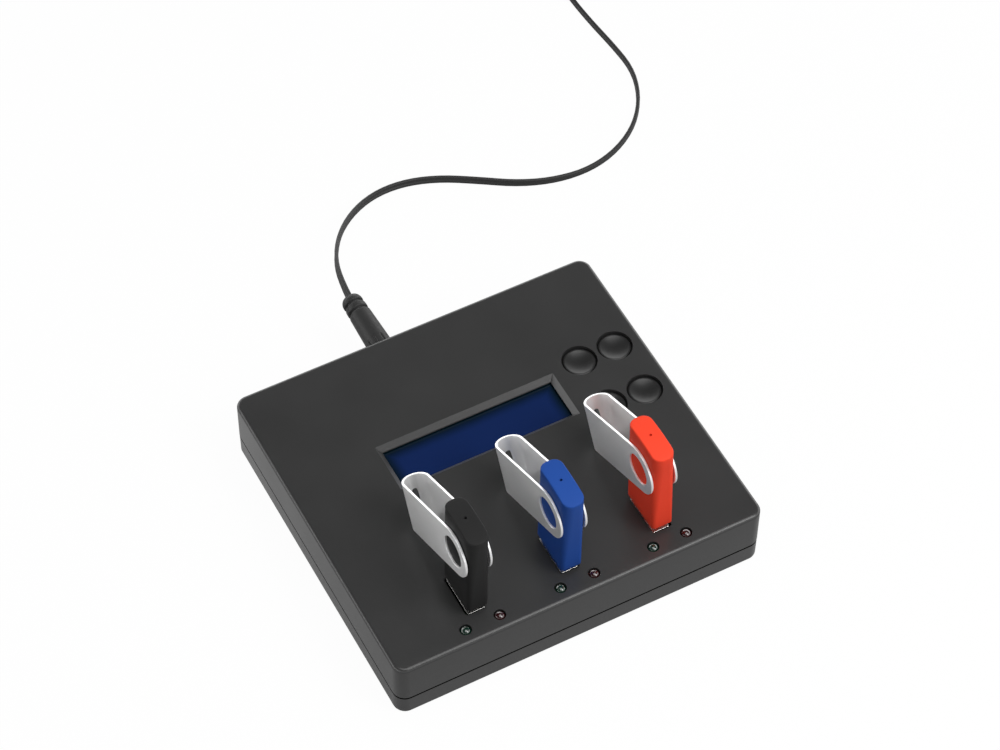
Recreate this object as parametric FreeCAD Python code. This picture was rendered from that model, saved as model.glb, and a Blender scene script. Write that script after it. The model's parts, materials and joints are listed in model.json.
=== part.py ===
# Desktop duplicator for three USB flash drives, with its display, buttons, lamps,
# plugged-in swivel drives and power adapter. Millimetres, +Z up, +X to the right, +Y to
# the rear. The origin is under the middle of the case, on the plane that the feet stand on.
import FreeCAD
import Part
import math
import os

V = FreeCAD.Vector
X_AXIS, Y_AXIS = V(1, 0, 0), V(0, 1, 0)

# Case
CASE_W, CASE_D = 137.8, 125.4
FOOT_H = 0.5
TOP_Z = 25.4
PARTING_Z = 8.7
PARTING_GROOVE = 0.8
CORNER_R = 4.5
TOP_EDGE_R = 1.4
BASE_EDGE_R = 0.6
BASE_INSET, BASE_INSET_LOW = 0.05, 0.12
WALL, PLATE, FLOOR = 2.2, 2.4, 2.0
BASE_WALL = 2.95
LIP_T, LIP_GAP, LIP_H = 1.0, 0.1, 1.6
PLATE_Z = TOP_Z - PLATE
FOOT_R, FOOT_X, FOOT_Y = 5.0, 50.0, 46.0

# Screws that close the case from below
BOSS_X, BOSS_Y, BOSS_R = 60.0, 54.0, 4.0
BOSS_MEET_Z = 9.1
BOSS_HOLE_R = 1.5
SCREW_R, SCREW_HEAD_R, SCREW_HEAD_H, SCREW_TIP_Z = 1.45, 2.6, 1.8, 17.0
SCREW_SEAT_Z = 4.2
COUNTERBORE_R = 3.0

# Main board
BOARD_T = 1.6
BOARD_Z = 9.45
BOARD_TOP = BOARD_Z + BOARD_T
BOARD_X, BOARD_FRONT, BOARD_REAR = 64.0, -58.9, 58.0
NOTCH = 9.2
STANDOFF_X, STANDOFF_Y, STANDOFF_R = 57.0, 36.0, 3.0
SMALL_HOLE_R, SMALL_SCREW_R, SMALL_HEAD_R, SMALL_HEAD_H = 1.3, 1.2, 2.2, 1.3

# Display
LCD_X, LCD_Y = -0.4, 12.15
WINDOW_W, WINDOW_D = 65.0, 15.9
BEVEL = 1.8
LCD_BOARD_W, LCD_BOARD_D, LCD_BOARD_Z = 80.0, 36.0, 12.8
LCD_TOP = LCD_BOARD_Z + BOARD_T
LCD_FRAME_W, LCD_FRAME_D, LCD_FRAME_T = 71.3, 26.3, 0.5
LCD_FRAME_TOP = PLATE_Z - 0.05
LCD_SCREW_X, LCD_SCREW_Y, LCD_BOSS_R = 37.5, 15.5, 2.2

# Buttons
BUTTON_X = (44.75, 58.7)
BUTTON_Y = (22.5, 1.2)
BUTTON_HOLE_R, CAP_R, CAP_FLANGE_R = 6.35, 5.8, 6.65
CAP_TOP = TOP_Z - 0.6
DISH_DEPTH, DISH_R = 0.8, 5.1
CAP_EDGE_R = 0.6
CAP_STEM_R, CAP_STEM_Z = 3.0, 17.5
PLUNGER_R, PLUNGER_FIT = 1.75, 0.05
PLUNGER_LOW, PLUNGER_TOP = 13.2, 20.55
SWITCH_SIDE, SWITCH_H = 6.0, 3.5
SWITCH_POCKET_Z = 12.3

# USB ports and lamps. The sockets and their rims stand a little off the middle of their slots.
PORT_X = (-35.1, 0.1, 35.1)
PORT_Y = -44.4
SOCKET_PLACE_X = (-34.6, 0.3, 35.0)
SOCKET_PLACE_Y = -44.2
SOCKET_LIP_PLACE_X = (-34.7, 0.0, 34.8)
SLOT_X, SLOT_Y, SLOT_R = 7.3, 16.4, 0.8
SOCKET_X, SOCKET_Y, SHEET_T = 5.1, 12.6, 0.3
SOCKET_LIP_X, SOCKET_LIP_Y, SOCKET_LIP_T = 6.4, 15.8, 0.35
SOCKET_LIP_EDGE_R = 0.12
SOCKET_TOP = TOP_Z - 0.4
INSULATOR_Z = 13.9
TONGUE_X = (0.25, 1.7)
TONGUE_Y, TONGUE_TOP = 10.8, 22.5
CONTACT_PITCH, CONTACT_W, CONTACT_T = 2.3, 1.0, 0.12
LAMP_DX, LAMP_Y, LAMP_R, LAMP_HOLE_R = 6.3, -57.2, 1.95, 2.1
LAMP_DOME_Z, LAMP_DOME_H = 24.3, 1.5

# Flash drives. Each leans in its socket: degrees to the rear, degrees to the right.
DRIVE_X, DRIVE_Y, DRIVE_R = 7.8, 19.8, 3.3
DRIVE_BASE_X, DRIVE_BASE_Y, DRIVE_BASE_R = 7.7, 17.6, 1.2
DRIVE_FOOT_Z, DRIVE_PEAK_Z, DRIVE_CROWN = 27.7, 67.2, 1.0
DRIVE_WALL, DRIVE_INNER_R = 1.2, 0.8
DRIVE_RIM_R = 0.45
DRIVE_LEAN = ((-0.3, 0.3), (-1.6, -0.7), (1.1, -1.2))
LEAN_Z = 19.8
PIVOT_Z = 52.3
PIVOT_BOSS_R, PIVOT_BOSS_X = 5.55, 4.35
PIN_HOLE_R, PIN_HOLE_Y = 0.55, 0.7
PLUG_X, PLUG_Y, PLUG_END_Z, PLUG_ROOT_Z = 4.5, 12.0, 14.3, 32.0
CORE_STEP_Z, CORE_TOP_Z = 23.3, 29.0

# Swivel clips
CLIP_T = 0.8
CLIP_X = 9.8
CLIP_R = 9.0
CLIP_LENGTH = 40.3
CLIP_HOLE_R = 5.6
CLIP_TILT = 26.5
LANYARD_X, LANYARD_Y = 2.5, 7.5

# Power inlet, plug and lead
JACK_X, JACK_Z = -10.9, 17.55
JACK_NOSE_R, JACK_BORE_R, JACK_PIN_R = 4.2, 3.15, 1.0
JACK_W, JACK_FRONT, JACK_BACK = 9.0, 45.5, 60.2
BARREL_R, BARREL_BORE_R, BARREL_L = 2.75, 1.3, 9.5
GRIP_START, GRIP_END = 62.9, 89.6
LEAD_D = 2.8
LEAD_R = LEAD_D / 2
LEAD_ROUTE = [
    (-10.9, 89.6, 17.55),
    (-9.8, 99.5, 16.8),
    (-6.0, 111.5, 13.6),
    (1.6, 124.3, 9.4),
    (12.4, 134.8, 5.2),
    (24.6, 141.0, 2.2),
    (37.0, 141.4, 1.4),
    (49.4, 137.2, 1.4),
    (61.6, 129.7, 1.4),
    (73.8, 121.6, 1.4),
    (86.8, 116.6, 1.4),
    (100.3, 115.2, 1.4),
    (113.6, 118.4, 1.4),
    (126.0, 126.2, 1.4),
    (135.0, 137.8, 1.4),
    (139.8, 151.6, 1.4),
    (139.2, 166.0, 1.4),
    (137.7, 180.5, 1.4),
    (136.9, 194.5, 1.5),
    (137.2, 208.0, 1.8),
    (137.05, 221.0, 1.85),
]

# Coil of spare lead, its ties and the wall adapter
COIL_X, COIL_Y, COIL_Z = 158.0, 225.0, 1.85
COIL_TURNS, COIL_LAYERS, COIL_PITCH = 3, 4, 3.3
COIL_OUTER = 20.95
COIL_END_RUN = 4.0
TIE_T, TIE_W, TIE_BITE = 0.5, 4.0, 0.05
TAIL_END = 238.0
ADAPTER_W, ADAPTER_D, ADAPTER_H = 36.0, 50.0, 24.0
RELIEF_R, RELIEF_ROOT_R, RELIEF_L = 2.3, 3.4, 12.0
BLADE_L, BLADE_H, BLADE_T, BLADE_GAP = 16.5, 6.35, 1.5, 12.7


def box(x0, x1, y0, y1, z0, z1):
    return Part.makeBox(x1 - x0, y1 - y0, z1 - z0, V(x0, y0, z0))


def block(cx, cy, w, d, z0, z1):
    return box(cx - w / 2, cx + w / 2, cy - d / 2, cy + d / 2, z0, z1)


def rod(cx, cy, r, z0, z1):
    return Part.makeCylinder(r, z1 - z0, V(cx, cy, z0))


def rod_y(cx, cz, r, y0, y1):
    return Part.makeCylinder(r, y1 - y0, V(cx, y0, cz), Y_AXIS)


def rod_x(cy, cz, r, x0, x1):
    return Part.makeCylinder(r, x1 - x0, V(x0, cy, cz), X_AXIS)


def rounded_wire(cx, cy, w, d, r, z):
    """Closed outline of a rectangle with round corners, at height z."""
    hw, hd = w / 2, d / 2
    s = r * math.sqrt(0.5)
    corners = [(1, -1), (1, 1), (-1, 1), (-1, -1)]
    edges = []
    ends = []
    for sx, sy in corners:
        mx, my = cx + sx * (hw - r), cy + sy * (hd - r)
        side, face = V(mx + sx * r, my, z), V(mx, my + sy * r, z)
        first, last = (face, side) if sx * sy < 0 else (side, face)
        edges.append(Part.Arc(first, V(mx + sx * s, my + sy * s, z), last).toShape())
        ends.append((first, last))
    for i in range(4):
        edges.append(Part.LineSegment(ends[i][1], ends[(i + 1) % 4][0]).toShape())
    return Part.Wire(Part.__sortEdges__(edges))


def rounded_prism(cx, cy, w, d, r, z0, z1):
    face = Part.Face(rounded_wire(cx, cy, w, d, r, z0))
    return face.extrude(V(0, 0, z1 - z0))


def fuse(shapes):
    whole = shapes[0].fuse(shapes[1:]) if len(shapes) > 1 else shapes[0]
    return whole.removeSplitter()


def cut(shape, tools):
    return shape.cut(Part.makeCompound(tools))


def corners(x, y):
    return [(sx * x, sy * y) for sx in (-1, 1) for sy in (-1, 1)]


def edges_at_height(shape, z):
    return [e for e in shape.Edges if all(abs(v.Z - z) < 1e-6 for v in e.Vertexes)]


def save(name, shape):
    """Writes one sub-part, after checking that it is sound."""
    if not shape.isValid():
        print("NOT VALID", name)
    shape.exportStep(f"parts/{name}.step")
    print(f"{name}: solids {len(shape.Solids)}, volume {shape.Volume:.1f}")


# Case shells
def display_window():
    """Cutter for the display opening: a straight land and a bevel that widens upwards."""
    land = block(LCD_X, LCD_Y, WINDOW_W, WINDOW_D, PLATE_Z - 1, TOP_Z)
    low = Part.makePolygon(window_corners(0.0, TOP_Z - BEVEL))
    high = Part.makePolygon(window_corners(BEVEL + 0.1, TOP_Z + 0.1))
    return land.fuse(Part.makeLoft([low, high], True, True))


def window_corners(grow, z):
    hw, hd = WINDOW_W / 2 + grow, WINDOW_D / 2 + grow
    ring = [(-1, -1), (1, -1), (1, 1), (-1, 1), (-1, -1)]
    return [V(LCD_X + sx * hw, LCD_Y + sy * hd, z) for sx, sy in ring]


def lamp_places():
    return [(x + side * LAMP_DX, LAMP_Y) for x in PORT_X for side in (-1, 1)]


def button_places():
    return [(x, y) for y in BUTTON_Y for x in BUTTON_X]


def lcd_screw_places():
    return [(LCD_X + x, LCD_Y + y) for x, y in corners(LCD_SCREW_X, LCD_SCREW_Y)]


def make_top_shell():
    low = PARTING_Z + PARTING_GROOVE / 2
    outer = rounded_prism(0, 0, CASE_W, CASE_D, CORNER_R, low, TOP_Z)
    outer = outer.makeFillet(TOP_EDGE_R, edges_at_height(outer, TOP_Z))
    inner = rounded_prism(0, 0, CASE_W - 2 * WALL, CASE_D - 2 * WALL, CORNER_R - WALL,
                          low - 1, PLATE_Z)
    shell = outer.cut(inner)
    posts = [rod(x, y, BOSS_R, BOSS_MEET_Z, PLATE_Z + 0.5) for x, y in corners(BOSS_X, BOSS_Y)]
    posts += [rod(x, y, LCD_BOSS_R, LCD_TOP, PLATE_Z + 0.5) for x, y in lcd_screw_places()]
    shell = fuse([shell] + posts)
    holes = [display_window()]
    holes += [rod(x, y, BOSS_HOLE_R, 0, SCREW_TIP_Z + 1) for x, y in corners(BOSS_X, BOSS_Y)]
    holes += [rod(x, y, SMALL_HOLE_R, 0, PLATE_Z - 1) for x, y in lcd_screw_places()]
    holes += [rod(x, y, BUTTON_HOLE_R, PLATE_Z - 1, TOP_Z + 1) for x, y in button_places()]
    holes += [rounded_prism(x, PORT_Y, SLOT_X, SLOT_Y, SLOT_R, PLATE_Z - 1, TOP_Z + 1)
              for x in PORT_X]
    holes += [rod(x, y, LAMP_HOLE_R, PLATE_Z - 1, TOP_Z + 1) for x, y in lamp_places()]
    holes.append(rod_y(JACK_X, JACK_Z, JACK_NOSE_R + 0.1, CASE_D / 2 - WALL - 1, CASE_D))
    return cut(shell, holes)


def make_bottom_shell():
    high = PARTING_Z - PARTING_GROOVE / 2
    sections = [rounded_wire(0, 0, CASE_W - 2 * inset, CASE_D - 2 * inset, CORNER_R - inset, z)
                for inset, z in ((BASE_INSET_LOW, FOOT_H), (BASE_INSET, high))]
    outer = Part.makeLoft(sections, True, True)
    outer = outer.makeFillet(BASE_EDGE_R, edges_at_height(outer, FOOT_H))
    wall = BASE_INSET + BASE_WALL
    inner = rounded_prism(0, 0, CASE_W - 2 * wall, CASE_D - 2 * wall, CORNER_R - wall,
                          FOOT_H + FLOOR, high + 1)
    lip = WALL + LIP_GAP
    ring = rounded_prism(0, 0, CASE_W - 2 * lip, CASE_D - 2 * lip, CORNER_R - lip,
                         high - 2, high + PARTING_GROOVE + LIP_H)
    hollow = rounded_prism(0, 0, CASE_W - 2 * (lip + LIP_T), CASE_D - 2 * (lip + LIP_T),
                           CORNER_R - lip - LIP_T, high - 3, TOP_Z)
    columns = [rod(x, y, BOSS_R, FOOT_H + FLOOR / 2, BOSS_MEET_Z)
               for x, y in corners(BOSS_X, BOSS_Y)]
    columns += [rod(x, y, STANDOFF_R, FOOT_H + FLOOR / 2, BOARD_Z)
                for x, y in corners(STANDOFF_X, STANDOFF_Y)]
    shell = fuse([outer.cut(inner).fuse(ring.cut(hollow))] + columns)
    holes = [rod(x, y, BOSS_HOLE_R, 0, TOP_Z) for x, y in corners(BOSS_X, BOSS_Y)]
    holes += [rod(x, y, COUNTERBORE_R, 0, SCREW_SEAT_Z) for x, y in corners(BOSS_X, BOSS_Y)]
    holes += [rod(x, y, SMALL_HOLE_R, FOOT_H + FLOOR, TOP_Z)
              for x, y in corners(STANDOFF_X, STANDOFF_Y)]
    return cut(shell, holes)


def make_foot(x, y):
    foot = rod(x, y, FOOT_R, 0, FOOT_H)
    return foot.makeChamfer(0.15, edges_at_height(foot, 0))


def make_screw(x, y, head_z, tip_z, r, head_r, head_h):
    """Pan-head screw with a cross slot; the head is at head_z and the tip at tip_z."""
    up = 1 if tip_z > head_z else -1
    seat = head_z + up * head_h
    head = rod(x, y, head_r, min(head_z, seat), max(head_z, seat))
    shank = rod(x, y, r, min(seat, tip_z), max(seat, tip_z))
    arm, depth = head_r * 0.6, head_h * 0.5
    low, high = min(head_z, head_z + up * depth), max(head_z, head_z + up * depth)
    slots = [block(x, y, 2 * arm, 0.5, low, high), block(x, y, 0.5, 2 * arm, low, high)]
    return cut(head.fuse(shank), slots)


def save_case():
    save("top_shell", make_top_shell())
    save("bottom_shell", make_bottom_shell())
    save("rubber_feet", Part.makeCompound([make_foot(x, y) for x, y in corners(FOOT_X, FOOT_Y)]))
    screws = [make_screw(x, y, SCREW_SEAT_Z - SCREW_HEAD_H, SCREW_TIP_Z, SCREW_R,
                         SCREW_HEAD_R, SCREW_HEAD_H) for x, y in corners(BOSS_X, BOSS_Y)]
    save("case_screws", Part.makeCompound(screws))


# Boards and display
def make_main_board():
    board = box(-BOARD_X, BOARD_X, BOARD_FRONT, BOARD_REAR, BOARD_Z, BOARD_TOP)
    notches = []
    for sx, y in ((sx, y) for sx in (-1, 1) for y in (BOARD_FRONT, BOARD_REAR)):
        inner_x = sx * (BOARD_X - NOTCH)
        inner_y = y - math.copysign(NOTCH, y)
        x0, x1 = sorted((inner_x, sx * 70))
        y0, y1 = sorted((inner_y, math.copysign(70, y)))
        notches.append(box(x0, x1, y0, y1, BOARD_Z - 1, BOARD_TOP + 1))
    holes = [rod(x, y, SMALL_HOLE_R, BOARD_Z - 1, BOARD_TOP + 1)
             for x, y in corners(STANDOFF_X, STANDOFF_Y)]
    return cut(board, notches + holes)


def make_board_screws():
    main = [make_screw(x, y, BOARD_TOP + SMALL_HEAD_H, FOOT_H + FLOOR + 1.5, SMALL_SCREW_R,
                       SMALL_HEAD_R, SMALL_HEAD_H) for x, y in corners(STANDOFF_X, STANDOFF_Y)]
    display = [make_screw(x, y, LCD_BOARD_Z - SMALL_HEAD_H, PLATE_Z - 2, SMALL_SCREW_R,
                          SMALL_HEAD_R, SMALL_HEAD_H) for x, y in lcd_screw_places()]
    return Part.makeCompound(main + display)


def make_capacitor(x, y):
    can = rod(x, y, 3.15, BOARD_TOP + 0.6, BOARD_TOP + 7.7)
    can = can.makeFillet(0.4, edges_at_height(can, BOARD_TOP + 7.7))
    return can.fuse(block(x, y, 6.6, 6.6, BOARD_TOP, BOARD_TOP + 0.6))


def make_lcd_board():
    board = block(LCD_X, LCD_Y, LCD_BOARD_W, LCD_BOARD_D, LCD_BOARD_Z, LCD_TOP)
    return cut(board, [rod(x, y, SMALL_HOLE_R, LCD_BOARD_Z - 1, LCD_TOP + 1)
                       for x, y in lcd_screw_places()])


def make_lcd_frame():
    """Bent sheet frame that holds the glass and the light down on the display's board."""
    t = LCD_FRAME_T
    outer = rounded_prism(LCD_X, LCD_Y, LCD_FRAME_W, LCD_FRAME_D, 0.8, LCD_TOP, LCD_FRAME_TOP)
    inner = block(LCD_X, LCD_Y, LCD_FRAME_W - 2 * t, LCD_FRAME_D - 2 * t,
                  LCD_TOP - 1, LCD_FRAME_TOP - t)
    opening = block(LCD_X, LCD_Y, WINDOW_W + 1, WINDOW_D + 1.1, LCD_TOP, TOP_Z)
    return cut(outer, [inner, opening])


def save_boards():
    save("main_board", make_main_board())
    save("board_screws", make_board_screws())
    save("controller_chip", block(-30, 44, 14, 14, BOARD_TOP, BOARD_TOP + 1.4))
    save("filter_capacitors", Part.makeCompound([make_capacitor(x, 48) for x in (6, 16, 26)]))
    save("lcd_board", make_lcd_board())
    save("lcd_frame", make_lcd_frame())
    save("lcd_backlight", block(LCD_X, LCD_Y, 68, 23, LCD_TOP + 0.2, 20.1))
    save("lcd_glass", block(LCD_X, LCD_Y, 69.5, 24, 20.2, LCD_FRAME_TOP - LCD_FRAME_T))
    save("lcd_header", block(-12, LCD_Y + 16.4, 40.6, 2.5, BOARD_TOP, LCD_BOARD_Z))


# Buttons
def make_button_cap(x, y):
    """Round key with a dished top, a flange that stays under the plate, and a hollow stem."""
    flange_top = PLATE_Z - 0.1
    cap = rod(x, y, CAP_R, flange_top - 1, CAP_TOP)
    cap = cap.makeFillet(CAP_EDGE_R, edges_at_height(cap, CAP_TOP))
    flange = rod(x, y, CAP_FLANGE_R, flange_top - 1, flange_top)
    stem = rod(x, y, CAP_STEM_R, CAP_STEM_Z, flange_top)
    sphere_r = (DISH_R ** 2 + DISH_DEPTH ** 2) / (2 * DISH_DEPTH)
    dish = Part.makeSphere(sphere_r, V(x, y, CAP_TOP - DISH_DEPTH + sphere_r))
    bore = rod(x, y, PLUNGER_R + PLUNGER_FIT, CAP_STEM_Z - 1, PLUNGER_TOP + PLUNGER_FIT)
    return cut(fuse([cap, flange, stem]), [dish, bore])


def make_switch(x, y):
    body = block(x, y, SWITCH_SIDE, SWITCH_SIDE, BOARD_TOP, BOARD_TOP + SWITCH_H)
    return body.cut(rod(x, y, PLUNGER_R + PLUNGER_FIT, SWITCH_POCKET_Z, TOP_Z))


def save_buttons():
    for i, (x, y) in enumerate(button_places(), 1):
        save(f"button_cap_{i}", make_button_cap(x, y))
        save(f"switch_plunger_{i}", rod(x, y, PLUNGER_R, PLUNGER_LOW, PLUNGER_TOP))
    save("tact_switches", Part.makeCompound([make_switch(x, y) for x, y in button_places()]))


# USB sockets and lamps
def make_usb_shell(x, lip_x):
    """Folded steel socket, standing on the board, with a flared rim in the case's slot."""
    t = SHEET_T
    tube = rounded_prism(x, SOCKET_PLACE_Y, SOCKET_X + 2 * t, SOCKET_Y + 2 * t, 0.6,
                         BOARD_TOP, SOCKET_TOP)
    rim = rounded_prism(lip_x, SOCKET_PLACE_Y, SOCKET_LIP_X, SOCKET_LIP_Y, 0.5,
                        SOCKET_TOP - SOCKET_LIP_T, SOCKET_TOP)
    rim = rim.makeFillet(SOCKET_LIP_EDGE_R, edges_at_height(rim, SOCKET_TOP))
    inside = block(x, SOCKET_PLACE_Y, SOCKET_X, SOCKET_Y, BOARD_TOP - 1, TOP_Z)
    return fuse([tube, rim]).cut(inside)


def make_usb_insulator(x):
    base = block(x, SOCKET_PLACE_Y, SOCKET_X, SOCKET_Y, BOARD_TOP, INSULATOR_Z)
    y0, y1 = SOCKET_PLACE_Y - TONGUE_Y / 2, SOCKET_PLACE_Y + TONGUE_Y / 2
    tongue = box(x + TONGUE_X[0], x + TONGUE_X[1], y0, y1, INSULATOR_Z - 1, TONGUE_TOP)
    return fuse([base, tongue])


def make_usb_contact(x, y):
    face = x + TONGUE_X[0]
    return box(face - CONTACT_T, face, y - CONTACT_W / 2, y + CONTACT_W / 2,
               INSULATOR_Z, TONGUE_TOP - 1)


def make_lamp(x):
    """Lamp with a domed lens, a flange and two wire legs that stand on the board."""
    dome_r = (LAMP_R ** 2 + LAMP_DOME_H ** 2) / (2 * LAMP_DOME_H)
    tip = LAMP_DOME_Z + LAMP_DOME_H
    ball = Part.makeSphere(dome_r, V(x, LAMP_Y, tip - dome_r))
    lens = rod(x, LAMP_Y, LAMP_R, 19.5, tip).common(
        ball.fuse(rod(x, LAMP_Y, LAMP_R, 0, LAMP_DOME_Z)))
    flange = rod(x, LAMP_Y, 2.4, 18.5, 19.5)
    legs = [block(x, LAMP_Y + side * 1.27, 0.5, 0.5, BOARD_TOP, 18.6) for side in (-1, 1)]
    return fuse([lens, flange] + legs)


def save_ports():
    contacts = []
    places = zip(PORT_X, SOCKET_PLACE_X, SOCKET_LIP_PLACE_X)
    for i, (slot_x, x, lip_x) in enumerate(places, 1):
        save(f"usb_shell_{i}", make_usb_shell(x, lip_x))
        save(f"usb_insulator_{i}", make_usb_insulator(x))
        save(f"green_led_{i}", make_lamp(slot_x - LAMP_DX))
        save(f"red_led_{i}", make_lamp(slot_x + LAMP_DX))
        for place in (-1.5, -0.5, 0.5, 1.5):
            contacts.append(make_usb_contact(x, SOCKET_PLACE_Y + place * CONTACT_PITCH))
    save("usb_contacts", Part.makeCompound(contacts))


# Flash drives, drawn upright about their own axis and then set in their port
def set_in_port(shape, i):
    """Leans a drive in its loose socket and carries it to port i."""
    back, side = DRIVE_LEAN[i]
    placed = shape.copy()
    placed.rotate(V(0, 0, LEAN_Z), X_AXIS, -back)
    placed.rotate(V(0, 0, LEAN_Z), Y_AXIS, side)
    placed.translate(V(SOCKET_PLACE_X[i], SOCKET_PLACE_Y, 0))
    return placed


def drive_axis(i):
    """Direction in which drive i stands and is pulled out."""
    back, side = (math.radians(angle) for angle in DRIVE_LEAN[i])
    return V(math.cos(back) * math.sin(side), math.sin(back), math.cos(back) * math.cos(side))


def pivot_of(i):
    foot = V(SOCKET_PLACE_X[i], SOCKET_PLACE_Y, LEAN_Z)
    return foot + drive_axis(i) * (PIVOT_Z - LEAN_Z)


def crown_cutter(drop, width):
    """Prism over the drive's top end, below an arc that is highest in the middle."""
    peak, edge = DRIVE_PEAK_Z - drop, DRIVE_PEAK_Z - DRIVE_CROWN - drop
    half = DRIVE_Y / 2
    arc = Part.Arc(V(-width, -half, edge), V(-width, 0, peak), V(-width, half, edge)).toShape()
    ring = Part.makePolygon([V(-width, half, edge), V(-width, half, 0), V(-width, -half, 0),
                             V(-width, -half, edge)])
    face = Part.Face(Part.Wire(Part.__sortEdges__([arc] + ring.Edges)))
    return face.extrude(V(2 * width, 0, 0))


def make_drive_body():
    sections = [rounded_wire(0, 0, DRIVE_BASE_X, DRIVE_BASE_Y, DRIVE_BASE_R, DRIVE_FOOT_Z),
                rounded_wire(0, 0, DRIVE_X, DRIVE_Y, DRIVE_R, DRIVE_PEAK_Z + 1)]
    outer = Part.makeLoft(sections, True, True).common(crown_cutter(0, DRIVE_X))
    rim = [e for e in outer.Edges if e.BoundBox.ZMin > DRIVE_PEAK_Z - DRIVE_CROWN - 0.1]
    outer = outer.makeFillet(DRIVE_RIM_R, rim)
    outer = fuse([outer, rod_x(0, PIVOT_Z, PIVOT_BOSS_R, -PIVOT_BOSS_X, PIVOT_BOSS_X)])
    w = DRIVE_WALL
    inner = rounded_prism(0, 0, DRIVE_BASE_X - 2 * w, DRIVE_BASE_Y - 2 * w, DRIVE_INNER_R,
                          DRIVE_FOOT_Z + w, DRIVE_PEAK_Z).common(crown_cutter(w, DRIVE_X))
    mouth = block(0, 0, PLUG_X + 0.02, PLUG_Y + 0.02, DRIVE_FOOT_Z - 1, PLUG_ROOT_Z)
    pin_hole = rod(0, PIN_HOLE_Y, PIN_HOLE_R, PIVOT_Z, DRIVE_PEAK_Z + 1)
    return cut(outer, [inner, mouth, pin_hole])


def make_drive_plug():
    t = SHEET_T
    tube = rounded_prism(0, 0, PLUG_X, PLUG_Y, 0.5, PLUG_END_Z, PLUG_ROOT_Z)
    inside = block(0, 0, PLUG_X - 2 * t, PLUG_Y - 2 * t, PLUG_END_Z - 1, PLUG_ROOT_Z + 1)
    windows = [block(0, y, PLUG_X + 2, 2.3, PLUG_END_Z + 5.2, PLUG_END_Z + 7.5)
               for y in (-3.2, 3.2)]
    return cut(tube, [inside] + windows)


def make_drive_core():
    half_x, half_y = PLUG_X / 2 - SHEET_T, PLUG_Y / 2 - SHEET_T
    pad = box(-half_x, 0, -half_y, half_y, PLUG_END_Z + 0.2, CORE_STEP_Z)
    root = box(-half_x, half_x, -half_y, half_y, CORE_STEP_Z, CORE_TOP_Z)
    return fuse([pad, root])


def make_drive_board():
    low, high = PLUG_ROOT_Z + 0.2, DRIVE_PEAK_Z - DRIVE_CROWN - DRIVE_WALL - 0.4
    board = block(0, 0, 1.0, DRIVE_BASE_Y - 2 * DRIVE_WALL - 1.0, low, high)
    tail = block(0, 0, 1.0, PLUG_Y - 2 * SHEET_T - 0.4, CORE_TOP_Z, low)
    chip = box(0.5, 1.7, -6, 6, low + 4, low + 18)
    return fuse([board, tail, chip])


def make_clip():
    """U of sheet metal about the pivot, drawn pointing to +Y and then tilted down."""
    half, arc_r = CLIP_X / 2, CLIP_X / 2
    end = CLIP_LENGTH - arc_r

    def u_face(r, z):
        near = -CLIP_R - 1
        top = V(r, end, z)
        low = V(-r, end, z)
        arc = Part.Arc(low, V(0, end + r, z), top).toShape()
        lines = Part.makePolygon([top, V(r, near, z), V(-r, near, z), low])
        return Part.Face(Part.Wire(Part.__sortEdges__([arc] + lines.Edges)))

    outer = u_face(half, -CLIP_R).extrude(V(0, 0, 2 * CLIP_R))
    inner = u_face(half - CLIP_T, -CLIP_R - 1).extrude(V(0, 0, 2 * CLIP_R + 2))
    side = rod_x(0, 0, CLIP_R, -half, half).fuse(
        box(-half, half, 0, CLIP_LENGTH + 1, -CLIP_R, CLIP_R))
    strap = outer.cut(inner).common(side)
    ring_holes = rod_x(0, 0, CLIP_HOLE_R, -half - 1, half + 1)
    slot_r = LANYARD_X / 2
    run = LANYARD_Y / 2 - slot_r
    slot = fuse([box(-slot_r, slot_r, end, CLIP_LENGTH + 1, -run, run)]
                + [rod_y(0, z, slot_r, end, CLIP_LENGTH + 1) for z in (-run, run)])
    clip = cut(strap, [ring_holes, slot])
    clip.rotate(V(0, 0, 0), X_AXIS, -CLIP_TILT)
    return clip


def set_clip_in_port(shape, i):
    """Carries a clip to its drive's pivot, square to the drive's bosses."""
    placed = shape.copy()
    placed.rotate(V(0, 0, 0), Y_AXIS, DRIVE_LEAN[i][1])
    placed.translate(pivot_of(i))
    return placed


def save_drives():
    body, plug = make_drive_body(), make_drive_plug()
    core, board, clip = make_drive_core(), make_drive_board(), make_clip()
    for i in range(len(PORT_X)):
        save(f"drive_body_{i + 1}", set_in_port(body, i))
        save(f"drive_plug_{i + 1}", set_in_port(plug, i))
        save(f"drive_core_{i + 1}", set_in_port(core, i))
        save(f"drive_board_{i + 1}", set_in_port(board, i))
        save(f"drive_clip_{i + 1}", set_clip_in_port(clip, i))
        axis, pivot = drive_axis(i), pivot_of(i)
        print(f"drive {i + 1}: slide axis {axis.x:.5f} {axis.y:.5f} {axis.z:.5f}, "
              f"pivot {pivot.x:.3f} {pivot.y:.3f} {pivot.z:.3f}")


# Power inlet and plug
def make_jack_housing():
    base = box(JACK_X - JACK_W / 2, JACK_X + JACK_W / 2, JACK_FRONT, JACK_BACK,
               BOARD_TOP, PLATE_Z - 0.1)
    nose = rod_y(JACK_X, JACK_Z, JACK_NOSE_R, JACK_BACK, CASE_D / 2)
    bore = rod_y(JACK_X, JACK_Z, JACK_BORE_R, 51.5, CASE_D)
    seat = rod_y(JACK_X, JACK_Z, JACK_PIN_R, JACK_FRONT - 1, CASE_D)
    return cut(fuse([base, nose]), [bore, seat])


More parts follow.
